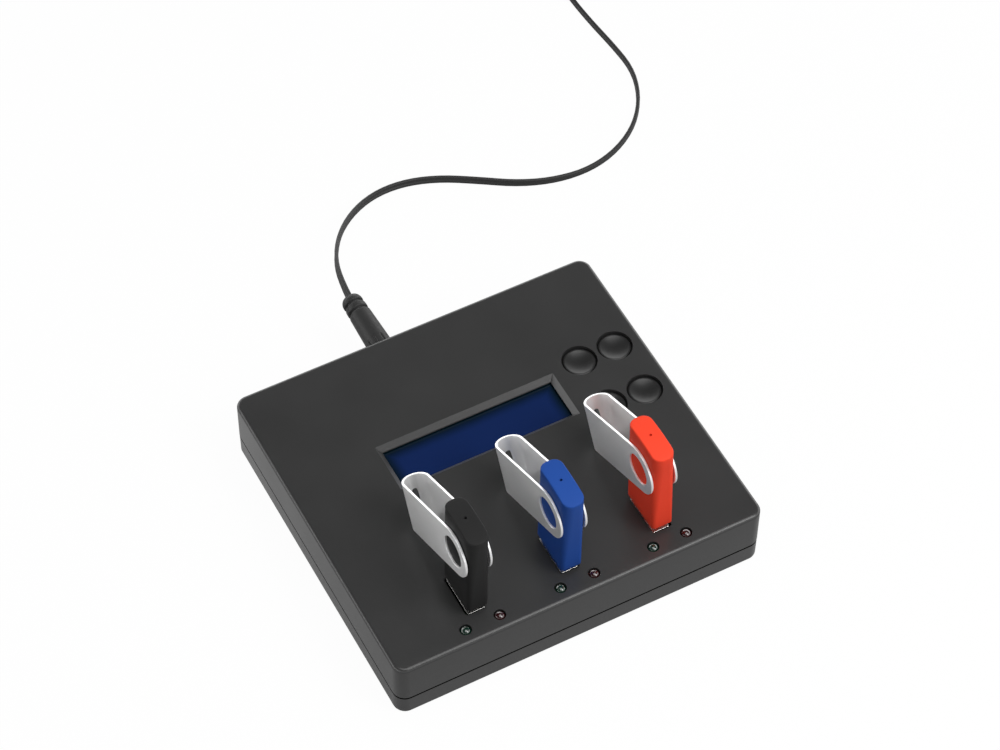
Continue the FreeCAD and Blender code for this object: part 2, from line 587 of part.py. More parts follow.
def make_plug_grip():
    """Moulded grip, turned about the lead: a taper, two grooves and a domed end."""
    run = GRIP_END - GRIP_START
    profile = [(0, 0), (4.35, 0), (4.65, 0.35), (4.1, run - 7.9), (3.4, run - 7.8),
               (3.35, run - 7.0), (4.0, run - 6.9), (3.9, run - 4.4), (3.25, run - 4.3),
               (3.2, run - 3.5), (3.75, run - 3.4), (3.6, run - 1.9)]
    points = [V(r, s, 0) for r, s in profile]
    edges = Part.makePolygon(points).Edges
    dome = Part.Arc(points[-1], V(3.0, run - 0.75, 0), V(2.1, run, 0)).toShape()
    back = Part.makePolygon([V(2.1, run, 0), V(0, run, 0), V(0, 0, 0)]).Edges
    face = Part.Face(Part.Wire(Part.__sortEdges__(edges + [dome] + back)))
    grip = face.revolve(V(0, 0, 0), Y_AXIS, 360)
    grip.translate(V(JACK_X, GRIP_START, JACK_Z))
    socket = rod_y(JACK_X, JACK_Z, BARREL_R, GRIP_START - 1, GRIP_START + 6)
    return grip.cut(socket)


def make_plug_barrel():
    tube = rod_y(JACK_X, JACK_Z, BARREL_R, GRIP_START - BARREL_L, GRIP_START + 6)
    return tube.cut(rod_y(JACK_X, JACK_Z, BARREL_BORE_R, 0, GRIP_START + 2))


def save_power():
    save("dc_jack_housing", make_jack_housing())
    save("dc_jack_pin", rod_y(JACK_X, JACK_Z, JACK_PIN_R, JACK_FRONT, 61.5))
    save("power_plug_grip", make_plug_grip())
    save("power_plug_barrel", make_plug_barrel())


# Lead, coil and adapter
def tube_along(wire, start, heading, name):
    """Round tube along a wire, and how its volume compares with section times length."""
    ring = Part.Wire(Part.makeCircle(LEAD_R, start, heading))
    tube = wire.makePipeShell([ring], True, False)
    section = math.pi * LEAD_R ** 2
    print(f"{name}: length {wire.Length:.1f}, volume over section times length "
          f"{tube.Volume / (section * wire.Length):.4f}")
    return tube


def rounded_path(points):
    """Straight runs joined by tangent arcs that are as large as their two runs allow."""
    pts = [V(*p) for p in points]
    edges = []
    radii = []
    start = pts[0]
    for before, here, after in zip(pts, pts[1:], pts[2:]):
        run_in, run_out = here - before, after - here
        shorter = min(run_in.Length, run_out.Length)
        turn = run_in.getAngle(run_out)
        cut_back = 0.45 * shorter
        radii.append(cut_back / math.tan(turn / 2))
        into, out = V(run_in).normalize(), V(run_out).normalize()
        first, last = here - into * cut_back, here + out * cut_back
        inward = (out - into).normalize()
        centre = here + inward * (radii[-1] / math.cos(turn / 2))
        middle = centre - inward * radii[-1]
        edges.append(Part.LineSegment(start, first).toShape())
        edges.append(Part.Arc(first, middle, last).toShape())
        start = last
    edges.append(Part.LineSegment(start, pts[-1]).toShape())
    print("lead bend radii:", ", ".join(f"{r:.0f}" for r in radii))
    return Part.Wire(edges)


def make_lead():
    wire = rounded_path(LEAD_ROUTE)
    return tube_along(wire, V(*LEAD_ROUTE[0]), V(*LEAD_ROUTE[1]) - V(*LEAD_ROUTE[0]), "lead")


def coil_state(turns):
    """Place on the coil after so many turns, winding in and out layer by layer."""
    layer, part = divmod(turns, COIL_TURNS)
    inward = int(layer) % 2 == 0
    wound = part if inward else COIL_TURNS - part
    radius = COIL_OUTER - COIL_PITCH * wound
    climbed = 0.0
    for step in range(1, COIL_LAYERS):
        reverse = step * COIL_TURNS
        share = min(1.0, max(0.0, (turns - reverse + 0.25) / 0.5))
        climbed += share * share * (3 - 2 * share)
    angle = math.pi - 2 * math.pi * turns
    return V(COIL_X + radius * math.cos(angle), COIL_Y + radius * math.sin(angle),
             COIL_Z + COIL_PITCH * climbed)


def coil_heading(turns):
    step = 1e-4
    low, high = max(0.0, turns - step), min(COIL_TURNS * COIL_LAYERS, turns + step)
    if low == 0.0 or high == COIL_TURNS * COIL_LAYERS:
        return V(0, 1, 0)
    return (coil_state(high) - coil_state(low)).normalize()


def biarc(p0, t0, p1, t1):
    """Two tangent arcs from p0 to p1 with headings t0 and t1, with equal reaches."""
    v = p1 - p0
    t = t0 + t1
    a = 2 * (1 - t0.dot(t1))
    b = 2 * v.dot(t)
    reach = (-b + math.sqrt(b * b + 4 * a * v.dot(v))) / (2 * a)
    q0, q1 = p0 + t0 * reach, p1 - t1 * reach
    joint = (q0 + q1) * 0.5
    return [arc_through(p0, q0, joint), arc_through(joint, q1, p1)]


def arc_through(first, corner, last):
    """Arc from first to last whose end tangents meet at corner."""
    chord_mid = (first + last) * 0.5
    half_chord = (last - first).Length / 2
    rise = corner - chord_mid
    turn = math.atan2(rise.Length, half_chord)
    middle = chord_mid + rise.normalize() * (half_chord * math.tan(turn / 2))
    return Part.Arc(first, middle, last).toShape()


def coil_path():
    total = COIL_TURNS * COIL_LAYERS
    steps = 4 * total
    places = [coil_state(i * total / steps) for i in range(steps + 1)]
    headings = [coil_heading(i * total / steps) for i in range(steps + 1)]
    run = V(0, COIL_END_RUN, 0)
    edges = [Part.LineSegment(places[0] - run, places[0]).toShape()]
    for i in range(steps):
        edges += biarc(places[i], headings[i], places[i + 1], headings[i + 1])
    tail = V(places[-1].x, TAIL_END, places[-1].z)
    edges.append(Part.LineSegment(places[-1], tail).toShape())
    return Part.Wire(edges)


def least_gap(wire):
    """Least free gap between turns that are more than a third of a turn apart."""
    points = wire.discretize(Distance=2.0)
    apart = int(2 * math.pi * COIL_OUTER / 3 / 2.0)
    nearest = min((p - q).Length for i, p in enumerate(points) for q in points[i + apart:])
    return nearest - LEAD_D


def make_coil():
    wire = coil_path()
    print(f"coil: least gap to itself {least_gap(wire):.2f}")
    start = coil_state(0) - V(0, COIL_END_RUN, 0)
    return tube_along(wire, start, V(0, 1, 0), "coil")


def make_tie(side):
    """Flat band round all the turns, at the lead's side (-1) or half a turn on (1)."""
    drawn_in = COIL_PITCH / 2 if side > 0 else 0.0
    inner_r = COIL_OUTER - COIL_PITCH * COIL_TURNS - LEAD_R + TIE_BITE + drawn_in
    outer_r = COIL_OUTER + LEAD_R - TIE_BITE - drawn_in
    low = COIL_Z - LEAD_R + TIE_BITE
    high = COIL_Z + COIL_PITCH * (COIL_LAYERS - 1) + LEAD_R - TIE_BITE
    x0, x1 = sorted((COIL_X + side * inner_r, COIL_X + side * outer_r))
    y0, y1 = COIL_Y - TIE_W / 2, COIL_Y + TIE_W / 2
    band = box(x0 - TIE_T, x1 + TIE_T, y0, y1, low - TIE_T, high + TIE_T)
    band = band.makeFillet(0.6, [e for e in band.Edges if abs(e.Length - TIE_W) < 1e-6])
    return band.cut(box(x0, x1, y0 - 1, y1 + 1, low, high))


def make_relief():
    start = V(coil_state(COIL_TURNS * COIL_LAYERS).x, TAIL_END,
              coil_state(COIL_TURNS * COIL_LAYERS).z)
    return Part.makeCone(RELIEF_R, RELIEF_ROOT_R, RELIEF_L, start, Y_AXIS)


def adapter_middle():
    end = coil_state(COIL_TURNS * COIL_LAYERS)
    return end.x, TAIL_END + RELIEF_L + ADAPTER_D / 2


def make_adapter_case():
    cx, cy = adapter_middle()
    case = rounded_prism(cx, cy, ADAPTER_W, ADAPTER_D, 4.0, 0, ADAPTER_H)
    rims = edges_at_height(case, 0) + edges_at_height(case, ADAPTER_H)
    return case.makeFillet(1.5, rims)


def make_adapter_blades():
    cx, cy = adapter_middle()
    face = cx + ADAPTER_W / 2
    z0, z1 = ADAPTER_H / 2 - BLADE_H / 2, ADAPTER_H / 2 + BLADE_H / 2
    blades = []
    for side in (-1, 1):
        y = cy + side * BLADE_GAP / 2
        blade = box(face, face + BLADE_L, y - BLADE_T / 2, y + BLADE_T / 2, z0, z1)
        tip = [e for e in blade.Edges if e.BoundBox.XMin > face + BLADE_L - 0.01]
        blade = blade.makeChamfer(0.6, [e for e in tip if abs(e.Length - BLADE_T) < 1e-6])
        hole = rod_y(face + BLADE_L - 4, ADAPTER_H / 2, 1.6, y - 2, y + 2)
        blades.append(blade.cut(hole))
    return Part.makeCompound(blades)


def save_lead():
    save("power_lead", make_lead())
    save("power_coil", make_coil())
    save("coil_ties", Part.makeCompound([make_tie(1), make_tie(-1)]))
    save("adapter_relief", make_relief())
    save("adapter_case", make_adapter_case())
    save("adapter_blades", make_adapter_blades())


os.makedirs("parts", exist_ok=True)
save_case()
save_boards()
save_buttons()
save_ports()
save_drives()
save_power()
save_lead()
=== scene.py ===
"""Looks of a desktop duplicator for three flash drives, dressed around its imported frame.

Lengths are metres in the frame's own axes: +X to the right, +Y to the rear, +Z up, with the
origin on the table under the middle of the case. Sizes of pieces are written in millimetres
times MM.
"""
import json
import logging
import math
from dataclasses import dataclass, field
from enum import Enum
from functools import partialmethod

import bmesh
import bpy
import numpy as np
from mathutils import Matrix


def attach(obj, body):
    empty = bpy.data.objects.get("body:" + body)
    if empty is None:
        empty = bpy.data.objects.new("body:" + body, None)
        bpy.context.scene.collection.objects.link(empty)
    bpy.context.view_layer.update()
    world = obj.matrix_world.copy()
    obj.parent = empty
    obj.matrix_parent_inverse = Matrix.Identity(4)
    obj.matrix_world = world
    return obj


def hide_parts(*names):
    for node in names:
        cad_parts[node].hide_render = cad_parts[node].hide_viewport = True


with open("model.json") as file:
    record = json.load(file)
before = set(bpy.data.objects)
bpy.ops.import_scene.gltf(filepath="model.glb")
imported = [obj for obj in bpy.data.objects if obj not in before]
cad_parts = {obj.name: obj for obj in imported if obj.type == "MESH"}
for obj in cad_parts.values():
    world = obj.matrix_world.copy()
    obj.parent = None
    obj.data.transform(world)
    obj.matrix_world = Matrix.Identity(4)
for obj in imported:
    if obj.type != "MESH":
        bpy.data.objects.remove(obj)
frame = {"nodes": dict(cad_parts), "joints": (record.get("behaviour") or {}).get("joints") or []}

MM = 0.001
WELD = 1e-7
CAD_WELD = 1e-6
NOISE_MEAN = 0.5
WHITE_LIGHT = (1, 1, 1, 1)
ALMOST_Y = (0.0, 1.0, 0.001)
log = logging.getLogger("duplicator")

Array = np.ndarray
Mesh = bpy.types.Mesh
Object = bpy.types.Object
Pair = tuple[float, float]
Triple = tuple[float, float, float]
Colour = Point = Triple


def joint(name: str) -> dict:
    """Gives the frame's entry of a joint, with its axis and, on a hinge, pos_m."""
    return next(entry for entry in frame["joints"] if entry["name"] == name)


# Shapes as arrays
def circle(count: int) -> Array:
    """Gives the angles of evenly spaced points once round."""
    return np.linspace(0, 2 * math.pi, count, endpoint=False)


def unit(vectors: Array) -> Array:
    """Scales each vector of an array to length 1."""
    return vectors / np.linalg.norm(vectors, axis=-1, keepdims=True)


def swung(points: Array, angle: float, first: int, second: int) -> Array:
    """Turns points about the origin in the plane of two axes.

    Args:
        points: array with x, y, z in its last axis.
        angle: turn in radians, from the first axis towards the second.
        first: number of the first axis.
        second: number of the second axis.

    Returns:
        The points with p cos a - q sin a and p sin a + q cos a in place of p and q.
    """
    p, q = points[..., first], points[..., second]
    c, s = math.cos(angle), math.sin(angle)
    made = points.copy()
    made[..., first], made[..., second] = p * c - q * s, p * s + q * c
    return made


def rounded_outline(half_x: float, half_y: float, radius: float, side: int = 12,
                    bend: int = 8) -> Array:
    """Rectangle with round corners, as four arcs joined by four straights.

    Args:
        half_x: half its width.
        half_y: half its depth.
        radius: radius of the corners.
        side: steps along each straight.
        bend: steps round each corner.

    Returns:
        4 * (side + bend) points (x, y): corner centre plus radius times (cos, sin) of an angle
        that runs a quarter turn per corner, then evenly spaced points to the next arc.
    """
    middle = np.array([[1, 1], [-1, 1], [-1, -1], [1, -1]]) * (half_x - radius, half_y - radius)
    angle = np.arange(4)[:, None] * math.pi / 2 + np.linspace(0, math.pi / 2, bend + 1)
    arcs = middle[:, None] + radius * np.stack([np.cos(angle), np.sin(angle)], -1)
    following = np.roll(arcs[:, :1], -1, axis=0)
    share = np.linspace(0, 1, side + 1)[1:-1][None, :, None]
    straights = arcs[:, -1:] + (following - arcs[:, -1:]) * share
    return np.concatenate([arcs, straights], axis=1).reshape(-1, 2)


def rounded_profile(corners: list[Triple], steps: int = 5) -> Array:
    """Profile whose corners are rounded by short curves.

    Args:
        corners: points (u, v, cut), where cut is how far back from the corner its curve starts.
        steps: steps of each curve.

    Returns:
        Points (u, v). A curve is a quadratic from the corner less cut along the way in, pulled
        to the corner, to the corner plus cut along the way out.
    """
    points = np.array([corner[:2] for corner in corners])
    parts = [points[:1]]
    share = np.linspace(0, 1, steps + 1)[:, None]
    for before, here, after, corner in zip(points, points[1:], points[2:], corners[1:]):
        cut = corner[2]
        if cut == 0:
            parts.append(here[None])
            continue
        start, end = here + unit(before - here) * cut, here + unit(after - here) * cut
        parts.append((1 - share) ** 2 * start + 2 * share * (1 - share) * here + share ** 2 * end)
    parts.append(points[-1:])
    return np.concatenate(parts)


def turned(profile: Array, centre: Point, axis: Point, count: int = 96) -> Array:
    """Surface of revolution.

    Args:
        profile: points (radius, height), height along the axis.
        centre: where height is 0.
        axis: unit vector along X, Y or Z.
        count: steps round.

    Returns:
        Grid: centre + height * axis + radius * (cos t * a + sin t * b), with a and b square to
        the axis.
    """
    along = np.array(axis)
    first = np.roll(along, 1)
    second = np.cross(along, first)
    angle = circle(count)
    around = np.cos(angle)[:, None] * first + np.sin(angle)[:, None] * second
    return (np.array(centre) + profile[:, None, 1:] * along
            + profile[:, None, :1] * around[None])


def carried(section: Array, path: Array, across: Array, upward: Array) -> Array:
    """Carries a section along a path.

    Args:
        section: points (a, b) of the section, or one such outline for each path point.
        path: points that the section's origin follows.
        across: unit vector at each path point for a.
        upward: unit vector at each path point for b.

    Returns:
        Grid: path + a * across + b * upward.
    """
    outline = np.broadcast_to(section, (len(path),) + section.shape[-2:])
    return (path[:, None] + outline[..., :1] * across[:, None]
            + outline[..., 1:] * upward[:, None])


def closed_ends(grid: Array) -> Array:
    """Adds a row at each end of a grid, drawn in to the middle of the end's ring."""
    first = np.broadcast_to(grid[:1].mean(axis=1, keepdims=True), grid[:1].shape)
    last = np.broadcast_to(grid[-1:].mean(axis=1, keepdims=True), grid[-1:].shape)
    return np.concatenate([first, grid, last])


def points_of(mesh: Mesh) -> Array:
    """Gives a mesh's points as rows of x, y and z."""
    points = np.empty(len(mesh.vertices) * 3)
    mesh.vertices.foreach_get("co", points)
    return points.reshape(-1, 3)


def sewn(mesh: Mesh, near: float, sharp: float, outward: bool) -> Mesh:
    """Merges a mesh's near points and smooths what isn't an edge.

    Args:
        mesh: the mesh, changed in place.
        near: points closer than this are merged.
        sharp: faces that meet at more than this many degrees keep an edge.
        outward: whether its faces are turned outwards too.

    Returns:
        The mesh.
    """
    work = bmesh.new()
    work.from_mesh(mesh)
    bmesh.ops.remove_doubles(work, verts=work.verts, dist=near)
    if outward:
        bmesh.ops.recalc_face_normals(work, faces=work.faces)
    work.to_mesh(mesh)
    work.free()
    mesh.shade_smooth()
    mesh.set_sharp_from_angle(angle=math.radians(sharp))
    return mesh


@dataclass
class Sheet:
    """Grids of points that are sewn into one mesh where their edges meet."""

    points: list[Array] = field(default_factory=list)
    quads: list[Array] = field(default_factory=list)
    count: int = 0

    def add(self, grid: Array, around: bool = True) -> "Sheet":
        """Adds a grid.

        Args:
            grid: rows by columns by x, y, z.
            around: whether the last column joins the first.

        Returns:
            The sheet itself.
        """
        rows, columns = grid.shape[:2]
        index = self.count + np.arange(rows * columns).reshape(rows, columns)
        if around:
            index = np.concatenate([index, index[:, :1]], axis=1)
        corners = [index[:-1, :-1], index[:-1, 1:], index[1:, 1:], index[1:, :-1]]
        self.points.append(grid.reshape(-1, 3))
        self.quads.append(np.stack(corners, -1).reshape(-1, 4))
        self.count += rows * columns
        return self

    def mesh(self, name: str, sharp: float = 38.0) -> Mesh:
        """Sews the grids, turns the faces outwards and smooths what isn't an edge.

        Args:
            name: the mesh's name.
            sharp: faces that meet at more than this many degrees keep an edge.

        Returns:
            The mesh.
        """
        made = bpy.data.meshes.new(name)
        made.from_pydata(np.concatenate(self.points).tolist(), [],
                         np.concatenate(self.quads).tolist())
        return sewn(made, WELD, sharp, outward=True)


# Materials as expressions: a Wire's arithmetic adds nodes to its Graph
class Wire:
    """A socket of a material that takes part in arithmetic.

    size gives its value without the sign, and least and most the smaller and larger of two.
    """

    def __init__(self, graph: "Graph", socket: bpy.types.NodeSocket) -> None:
        """Wraps an output socket, with the graph that new nodes go into."""
        self.graph = graph
        self.socket = socket

    def maths(self, operation: str, *others: "Wire | float", swap: bool = False) -> "Wire":
        """Adds a Math node, with this socket as its first value or, after a swap, its last."""
        values = [*others, self] if swap else [self, *others]
        made = self.graph.node("Math", dict(enumerate(values)), operation=operation)
        return made.out("Value")

    __add__ = __radd__ = partialmethod(maths, "ADD")
    __mul__ = __rmul__ = partialmethod(maths, "MULTIPLY")
    __sub__ = partialmethod(maths, "SUBTRACT")
    __rsub__ = partialmethod(maths, "SUBTRACT", swap=True)
    size = partialmethod(maths, "ABSOLUTE")
    least = partialmethod(maths, "MINIMUM")
    most = partialmethod(maths, "MAXIMUM")

    def step(self, low: float, high: float) -> "Wire":
        """Rises smoothly from 0 where this is low to 1 where it is high."""
        ends = {"Value": self, "From Min": low, "From Max": high}
        return self.graph.node("MapRange", ends, interpolation_type="SMOOTHSTEP").out("Result")


@dataclass
class Made:
    """A node with its graph, whose outputs are asked for by name."""

    graph: "Graph"
    node: bpy.types.Node

    def out(self, name: str) -> Wire:
        """Gives an output as a wire."""
        return Wire(self.graph, self.node.outputs[name])


class Graph:
    """The nodes of one material, lamp or world."""

    def __init__(self, tree: bpy.types.NodeTree) -> None:
        """Clears a node tree and starts the graph in it."""
        self.tree = tree
        tree.nodes.clear()

    def node(self, kind: str, inputs: dict | None = None, **settings: object) -> Made:
        """Adds a node: its settings first, then its sockets.

        Args:
            kind: the node's type, less its first word.
            inputs: values or wires by socket name or number.
            settings: properties to set.

        Returns:
            The node.
        """
        made = self.tree.nodes.new("ShaderNode" + kind)
        for key, value in settings.items():
            setattr(made, key, value)
        for key, value in (inputs or {}).items():
            if isinstance(value, Wire):
                self.tree.links.new(value.socket, made.inputs[key])
            else:
                made.inputs[key].default_value = value
        return Made(self, made)

    def place(self, scale: Point = (1, 1, 1)) -> Wire:
        """Gives the object's coordinates in metres, times a factor along each axis."""
        where = self.node("TexCoord").out("Object")
        return self.node("Mapping", {"Vector": where, "Scale": scale}).out("Vector")

    def mirrored(self, ray: Made) -> Wire:
        """Gives 1 for a ray from a mirror or through glass."""
        return ray.out("Is Glossy Ray").most(ray.out("Is Transmission Ray"))

    def axes(self) -> list[Wire]:
        """Gives x, y and z of the object's coordinates."""
        split = self.node("SeparateXYZ", {"Vector": self.place()})
        return [split.out(name) for name in "XYZ"]

    def noise(self, grain: float, detail: float = 2.0, stretch: Point = (1, 1, 1)) -> Wire:
        """Gives noise around 0.5, whose marks are grain long, times stretch along each axis."""
        scale = tuple(1 / length for length in stretch)
        return self.node("TexNoise", {"Vector": self.place(scale), "Detail": detail,
                                      "Scale": 1 / grain}).out("Fac")

    def blend(self, first: Colour, second: Colour, share: Wire) -> Wire:
        """Mixes two colours, where share is how much of the second."""
        sockets = {"Factor": share, 6: (*first, 1), 7: (*second, 1)}
        mix = self.node("Mix", sockets, data_type="RGBA")
        return Wire(self, mix.node.outputs[2])

    def mixed(self, first: Wire, second: Wire, share: Wire) -> Wire:
        """Mixes two shaders, where share is how much of the second."""
        return self.node("MixShader", {0: share, 1: first, 2: second}).out("Shader")

    def end(self, surface: Wire, kind: str = "OutputMaterial") -> None:
        """Joins a surface to an output node."""
        self.node(kind, {"Surface": surface})

    def bump(self, height: Wire, depth: float, strength: float = 1.0) -> Wire:
        """Turns a height, where 1 is one depth in metres, into a normal."""
        return self.node("Bump", {"Height": height, "Distance": depth,
                                  "Strength": strength}).out("Normal")


class Finish:
    """What every finish has in common: a material made once, on first use."""

    name: str
    colour: Colour

    def times(self, share: float) -> Colour:
        """Gives the finish's colour, darker or lighter by a factor."""
        return tuple(part * share for part in self.colour)

    def material(self) -> bpy.types.Material:
        """Gives the finish's material, made on first use."""
        own_name = f"{self.name}_look"
        found = bpy.data.materials.get(own_name)
        if found is None:
            found = bpy.data.materials.new(own_name)
            found.use_nodes = True
            self.draw(Graph(found.node_tree))
        return found

    def draw(self, graph: Graph) -> None:
        """Fills the graph. Each finish has its own."""
        raise NotImplementedError

    def shader(self, graph: Graph, **sockets: object) -> None:
        """Adds the Principled shader and the output.

        Args:
            graph: the material's graph.
            sockets: values or wires by socket name, with _ for spaces.
        """
        inputs = {key.replace("_", " "): value for key, value in sockets.items()}
        made = graph.node("BsdfPrincipled", inputs)
        graph.end(self.shadowed(graph, made.out("BSDF")))

    def shadowed(self, graph: Graph, surface: Wire) -> Wire:
        """Gives the surface as it is. A finish with painted shade has its own."""
        return surface


@dataclass(frozen=True)
class Moulding(Finish):
    """Moulded plastic or rubber with an eroded grain and faint flow marks.

    colour is the plastic's own colour, rough its roughness, grain the size of the texture's
    marks, depth their depth, drift how far the colour wanders, specular the gloss's strength,
    flow_grain the size of the flow marks, and wander how far the roughness follows them.
    """

    name: str
    colour: Colour
    rough: float = 0.42
    grain: float = 0.35 * MM
    depth: float = 0.012 * MM
    drift: float = 0.10
    specular: float = 0.5
    flow_grain: float = 22 * MM
    wander: float = 0.08

    def draw(self, graph: Graph) -> None:
        """Grain as bump, with colour and roughness that wander a little."""
        pits = graph.noise(self.grain, 3.0)
        flow = graph.noise(self.flow_grain, 2.0)
        tint = graph.blend(self.times(1 - self.drift), self.times(1 + self.drift),
                           0.7 * flow + 0.3 * pits)
        self.shader(graph, Base_Color=tint, Specular_IOR_Level=self.specular,
                    Roughness=self.rough + self.wander * (flow - NOISE_MEAN),
                    Normal=graph.bump(pits, self.depth))


@dataclass(frozen=True)
class CaseMoulding(Moulding):
    """Moulded plastic of the case, with painted shadow inside the gap between its halves.

    gap holds the heights of the gap's lower and upper side, blur how softly it ends, and shadow
    the near-black colour of the painted shadow.
    """

    gap: Pair = (8.3 * MM, 9.1 * MM)
    blur: float = 0.02 * MM
    shadow: tuple[float, ...] = (0.006, 0.006, 0.006, 1)

    def shadowed(self, graph: Graph, surface: Wire) -> Wire:
        """Gives way to painted shadow, a near-black matt shader, between the gap's sides."""
        _, _, z = graph.axes()
        low, high = self.gap
        # painted shadow: near black in the band between the gap's sides
        inside = (z.step(low - 2 * self.blur, low - self.blur)
                  * (1 - z.step(high + self.blur, high + 2 * self.blur)))
        shadow = graph.node("BsdfDiffuse", {"Color": self.shadow})
        return graph.mixed(surface, shadow.out("BSDF"), inside)


@dataclass(frozen=True)
class Metal(Finish):
    """Metal with lines left by rolling or brushing.

    stretch says how many times longer the marks are along each axis, worn how bright the
    colour is between them, and cloud_grain how large the dull patches are.
    """

    name: str
    colour: Colour
    rough: float = 0.3
    stretch: Point = (1, 1, 1)
    grain: float = 0.2 * MM
    depth: float = 0.002 * MM
    metallic: float = 1.0
    worn: float = 0.93
    cloud_grain: float = 9 * MM

    def draw(self, graph: Graph) -> None:
        """Lines as bump, and a roughness that follows them."""
        lines = graph.noise(self.grain, 3.0, self.stretch)
        cloud = graph.noise(self.cloud_grain, 2.0)
        self.shader(graph, Base_Color=graph.blend(self.times(self.worn), self.colour, lines),
                    Metallic=self.metallic,
                    Roughness=(self.rough + 0.10 * (lines - NOISE_MEAN)
                               + 0.06 * (cloud - NOISE_MEAN)),
                    Normal=graph.bump(lines, self.depth))


@dataclass(frozen=True)
class Lens(Finish):
    """Clear tinted resin of a lamp. deep is how bright it is where the resin is thick."""

    name: str
    colour: Colour
    rough: float = 0.06
    ripple_grain: float = 0.9 * MM
    deep: float = 0.55

    def draw(self, graph: Graph) -> None:
        """A tinted body with a clear gloss, a little uneven as cast resin is."""
        ripple = graph.noise(self.ripple_grain, 1.0)
        self.shader(graph, Base_Color=graph.blend(self.times(self.deep), self.colour, ripple),
                    Roughness=self.rough + 0.04 * ripple, Transmission_Weight=0.45, IOR=1.5,
                    Coat_Weight=1.0, Coat_Roughness=0.02,
                    Normal=graph.bump(ripple, 0.01 * MM, 0.5))


@dataclass(frozen=True)
class DisplayGlass(Finish):
    """The display's glass: blue in its middle and dark towards the window's edges.

    The dark at the rear and side edges is painted shade: the shadow and dark reflection of the
    window's walls. edge is the colour at the edges, middle and half the window's middle and half
    size, fade the way in from the edge to full blue, and uneven how far the fade's line strays.
    """

    name: str
    colour: Colour
    edge: Colour
    middle: Pair
    half: Pair
    fade: float
    uneven: float = 0.8 * MM

    def draw(self, graph: Graph) -> None:
        """Blue by the distance to the nearest of the rear, left and right edges, with painted
        shade of the window's walls nearer them.
        """
        x, y, _ = graph.axes()
        side = self.half[0] - (x - self.middle[0]).size()
        rear = self.middle[1] + self.half[1] - y
        cloud = graph.noise(7 * MM, 1.0)
        inside = side.least(rear) + self.uneven * (cloud - NOISE_MEAN)
        # painted shade of the window's walls: dark near the rear and side edges, full blue beyond
        # fade
        clear_of_painted_shade = inside.step(-0.1 * self.fade, self.fade)
        self.shader(graph, Base_Color=graph.blend(self.edge, self.colour, clear_of_painted_shade),
                    Roughness=0.09 + 0.03 * cloud, Specular_IOR_Level=0.25)


@dataclass(frozen=True)
class Laminate(Finish):
    """Circuit board: green resist over copper runs, with tinned pads.

    pitch is the distance between pads, relief the runs' height, and shows how far the copper
    shows through.
    """

    name: str
    colour: Colour
    copper: Colour
    pitch: float = 2.2 * MM
    relief: float = 0.03 * MM
    shows: float = 0.35

    def draw(self, graph: Graph) -> None:
        """Runs from a brick pattern, seen through the resist, and a grid of pads."""
        where = graph.place()
        bricks = {"Vector": where, "Mortar Size": 0.012, "Scale": 0.25 / self.pitch}
        runs = graph.node("TexBrick", bricks, offset=0.37, squash=0.6).out("Fac")
        cells = {"Vector": where, "Randomness": 0.8, "Scale": 0.33 / self.pitch}
        pads = graph.node("TexVoronoi", cells, feature="F1").out("Distance")
        tinned = 1 - pads.step(0.10, 0.13)
        under = graph.blend(self.colour, self.copper, self.shows * runs)
        self.shader(graph, Base_Color=under, Metallic=tinned, Roughness=0.38 - 0.1 * tinned,
                    Normal=graph.bump(runs + tinned, self.relief))


@dataclass(frozen=True)
class Paper(Finish):
    """The studio's white floor: white where it is seen or mirrored, and still shadowed.

    light is the strength of its own light, and glow the share that the camera sees. A mirror
    sees the first share of mirror at the front and their sum at the rear, and rise says between
    which places it changes. soiled is the factor of its colour in faint clouds.
    """

    name: str
    colour: Colour
    glow: float
    mirror: Pair = (0.30, 0.25)
    rise: Pair = (-0.08, 0.10)
    light: float = 1.05
    soiled: float = 0.985

    def draw(self, graph: Graph) -> None:
        """Matt white, and its own light for rays from the camera, a mirror or glass."""
        ray = graph.node("LightPath")
        _, y, _ = graph.axes()
        front, more = self.mirror
        mirror = (front + more * y.step(*self.rise)) * graph.mirrored(ray)
        seen = (self.glow * ray.out("Is Camera Ray")).most(mirror)
        cloud = graph.noise(0.4, 1.0)
        tint = graph.blend(self.times(self.soiled), self.colour, cloud)
        paper = graph.node("BsdfDiffuse", {"Color": tint})
        light = graph.node("Emission", {"Color": WHITE_LIGHT, "Strength": self.light})
        graph.end(graph.mixed(paper.out("BSDF"), light.out("Emission"), seen))


def drive_plastic(name: str, colour: Colour) -> Moulding:
    """Matt plastic of a drive's shell, under its own name."""
    return Moulding(name, colour, rough=0.5, depth=0.006 * MM, specular=0.08)


# the case's plastic, with painted shadow in the gap between its halves
BLACK_CASE = CaseMoulding("black_case", (0.031,) * 3, rough=0.305)
BUTTON_BLACK = Moulding("button_black", (0.012,) * 3, rough=0.33, depth=0.004 * MM)
LEAD_BLACK = Moulding("lead_black", (0.024,) * 3, rough=0.48, grain=0.8 * MM,
                      depth=0.003 * MM, specular=0.28)
ADAPTER_BLACK = Moulding("adapter_black", (0.018,) * 3, rough=0.40)
RUBBER = Moulding("foot_rubber", (0.02,) * 3, rough=0.7, grain=0.5 * MM)
TIE = Moulding("tie_black", (0.02,) * 3, rough=0.35)
CHIP = Moulding("chip_black", (0.02, 0.02, 0.021), rough=0.55, grain=0.15 * MM)
JACK = Moulding("jack_black", (0.015,) * 3, rough=0.4)
FRAME_BLACK = Moulding("lcd_frame_black", (0.008, 0.008, 0.009), rough=0.35)
WHITE = Moulding("white_plastic", (0.72, 0.72, 0.70), rough=0.4)
CLIP_STEEL = Metal("clip_steel", (0.94,) * 3, rough=0.5, stretch=(1, 14, 1),
                   grain=0.25 * MM, metallic=0.9)
PLATED = Metal("plated_metal", (0.78, 0.77, 0.75), rough=0.24, stretch=(1, 1, 8))
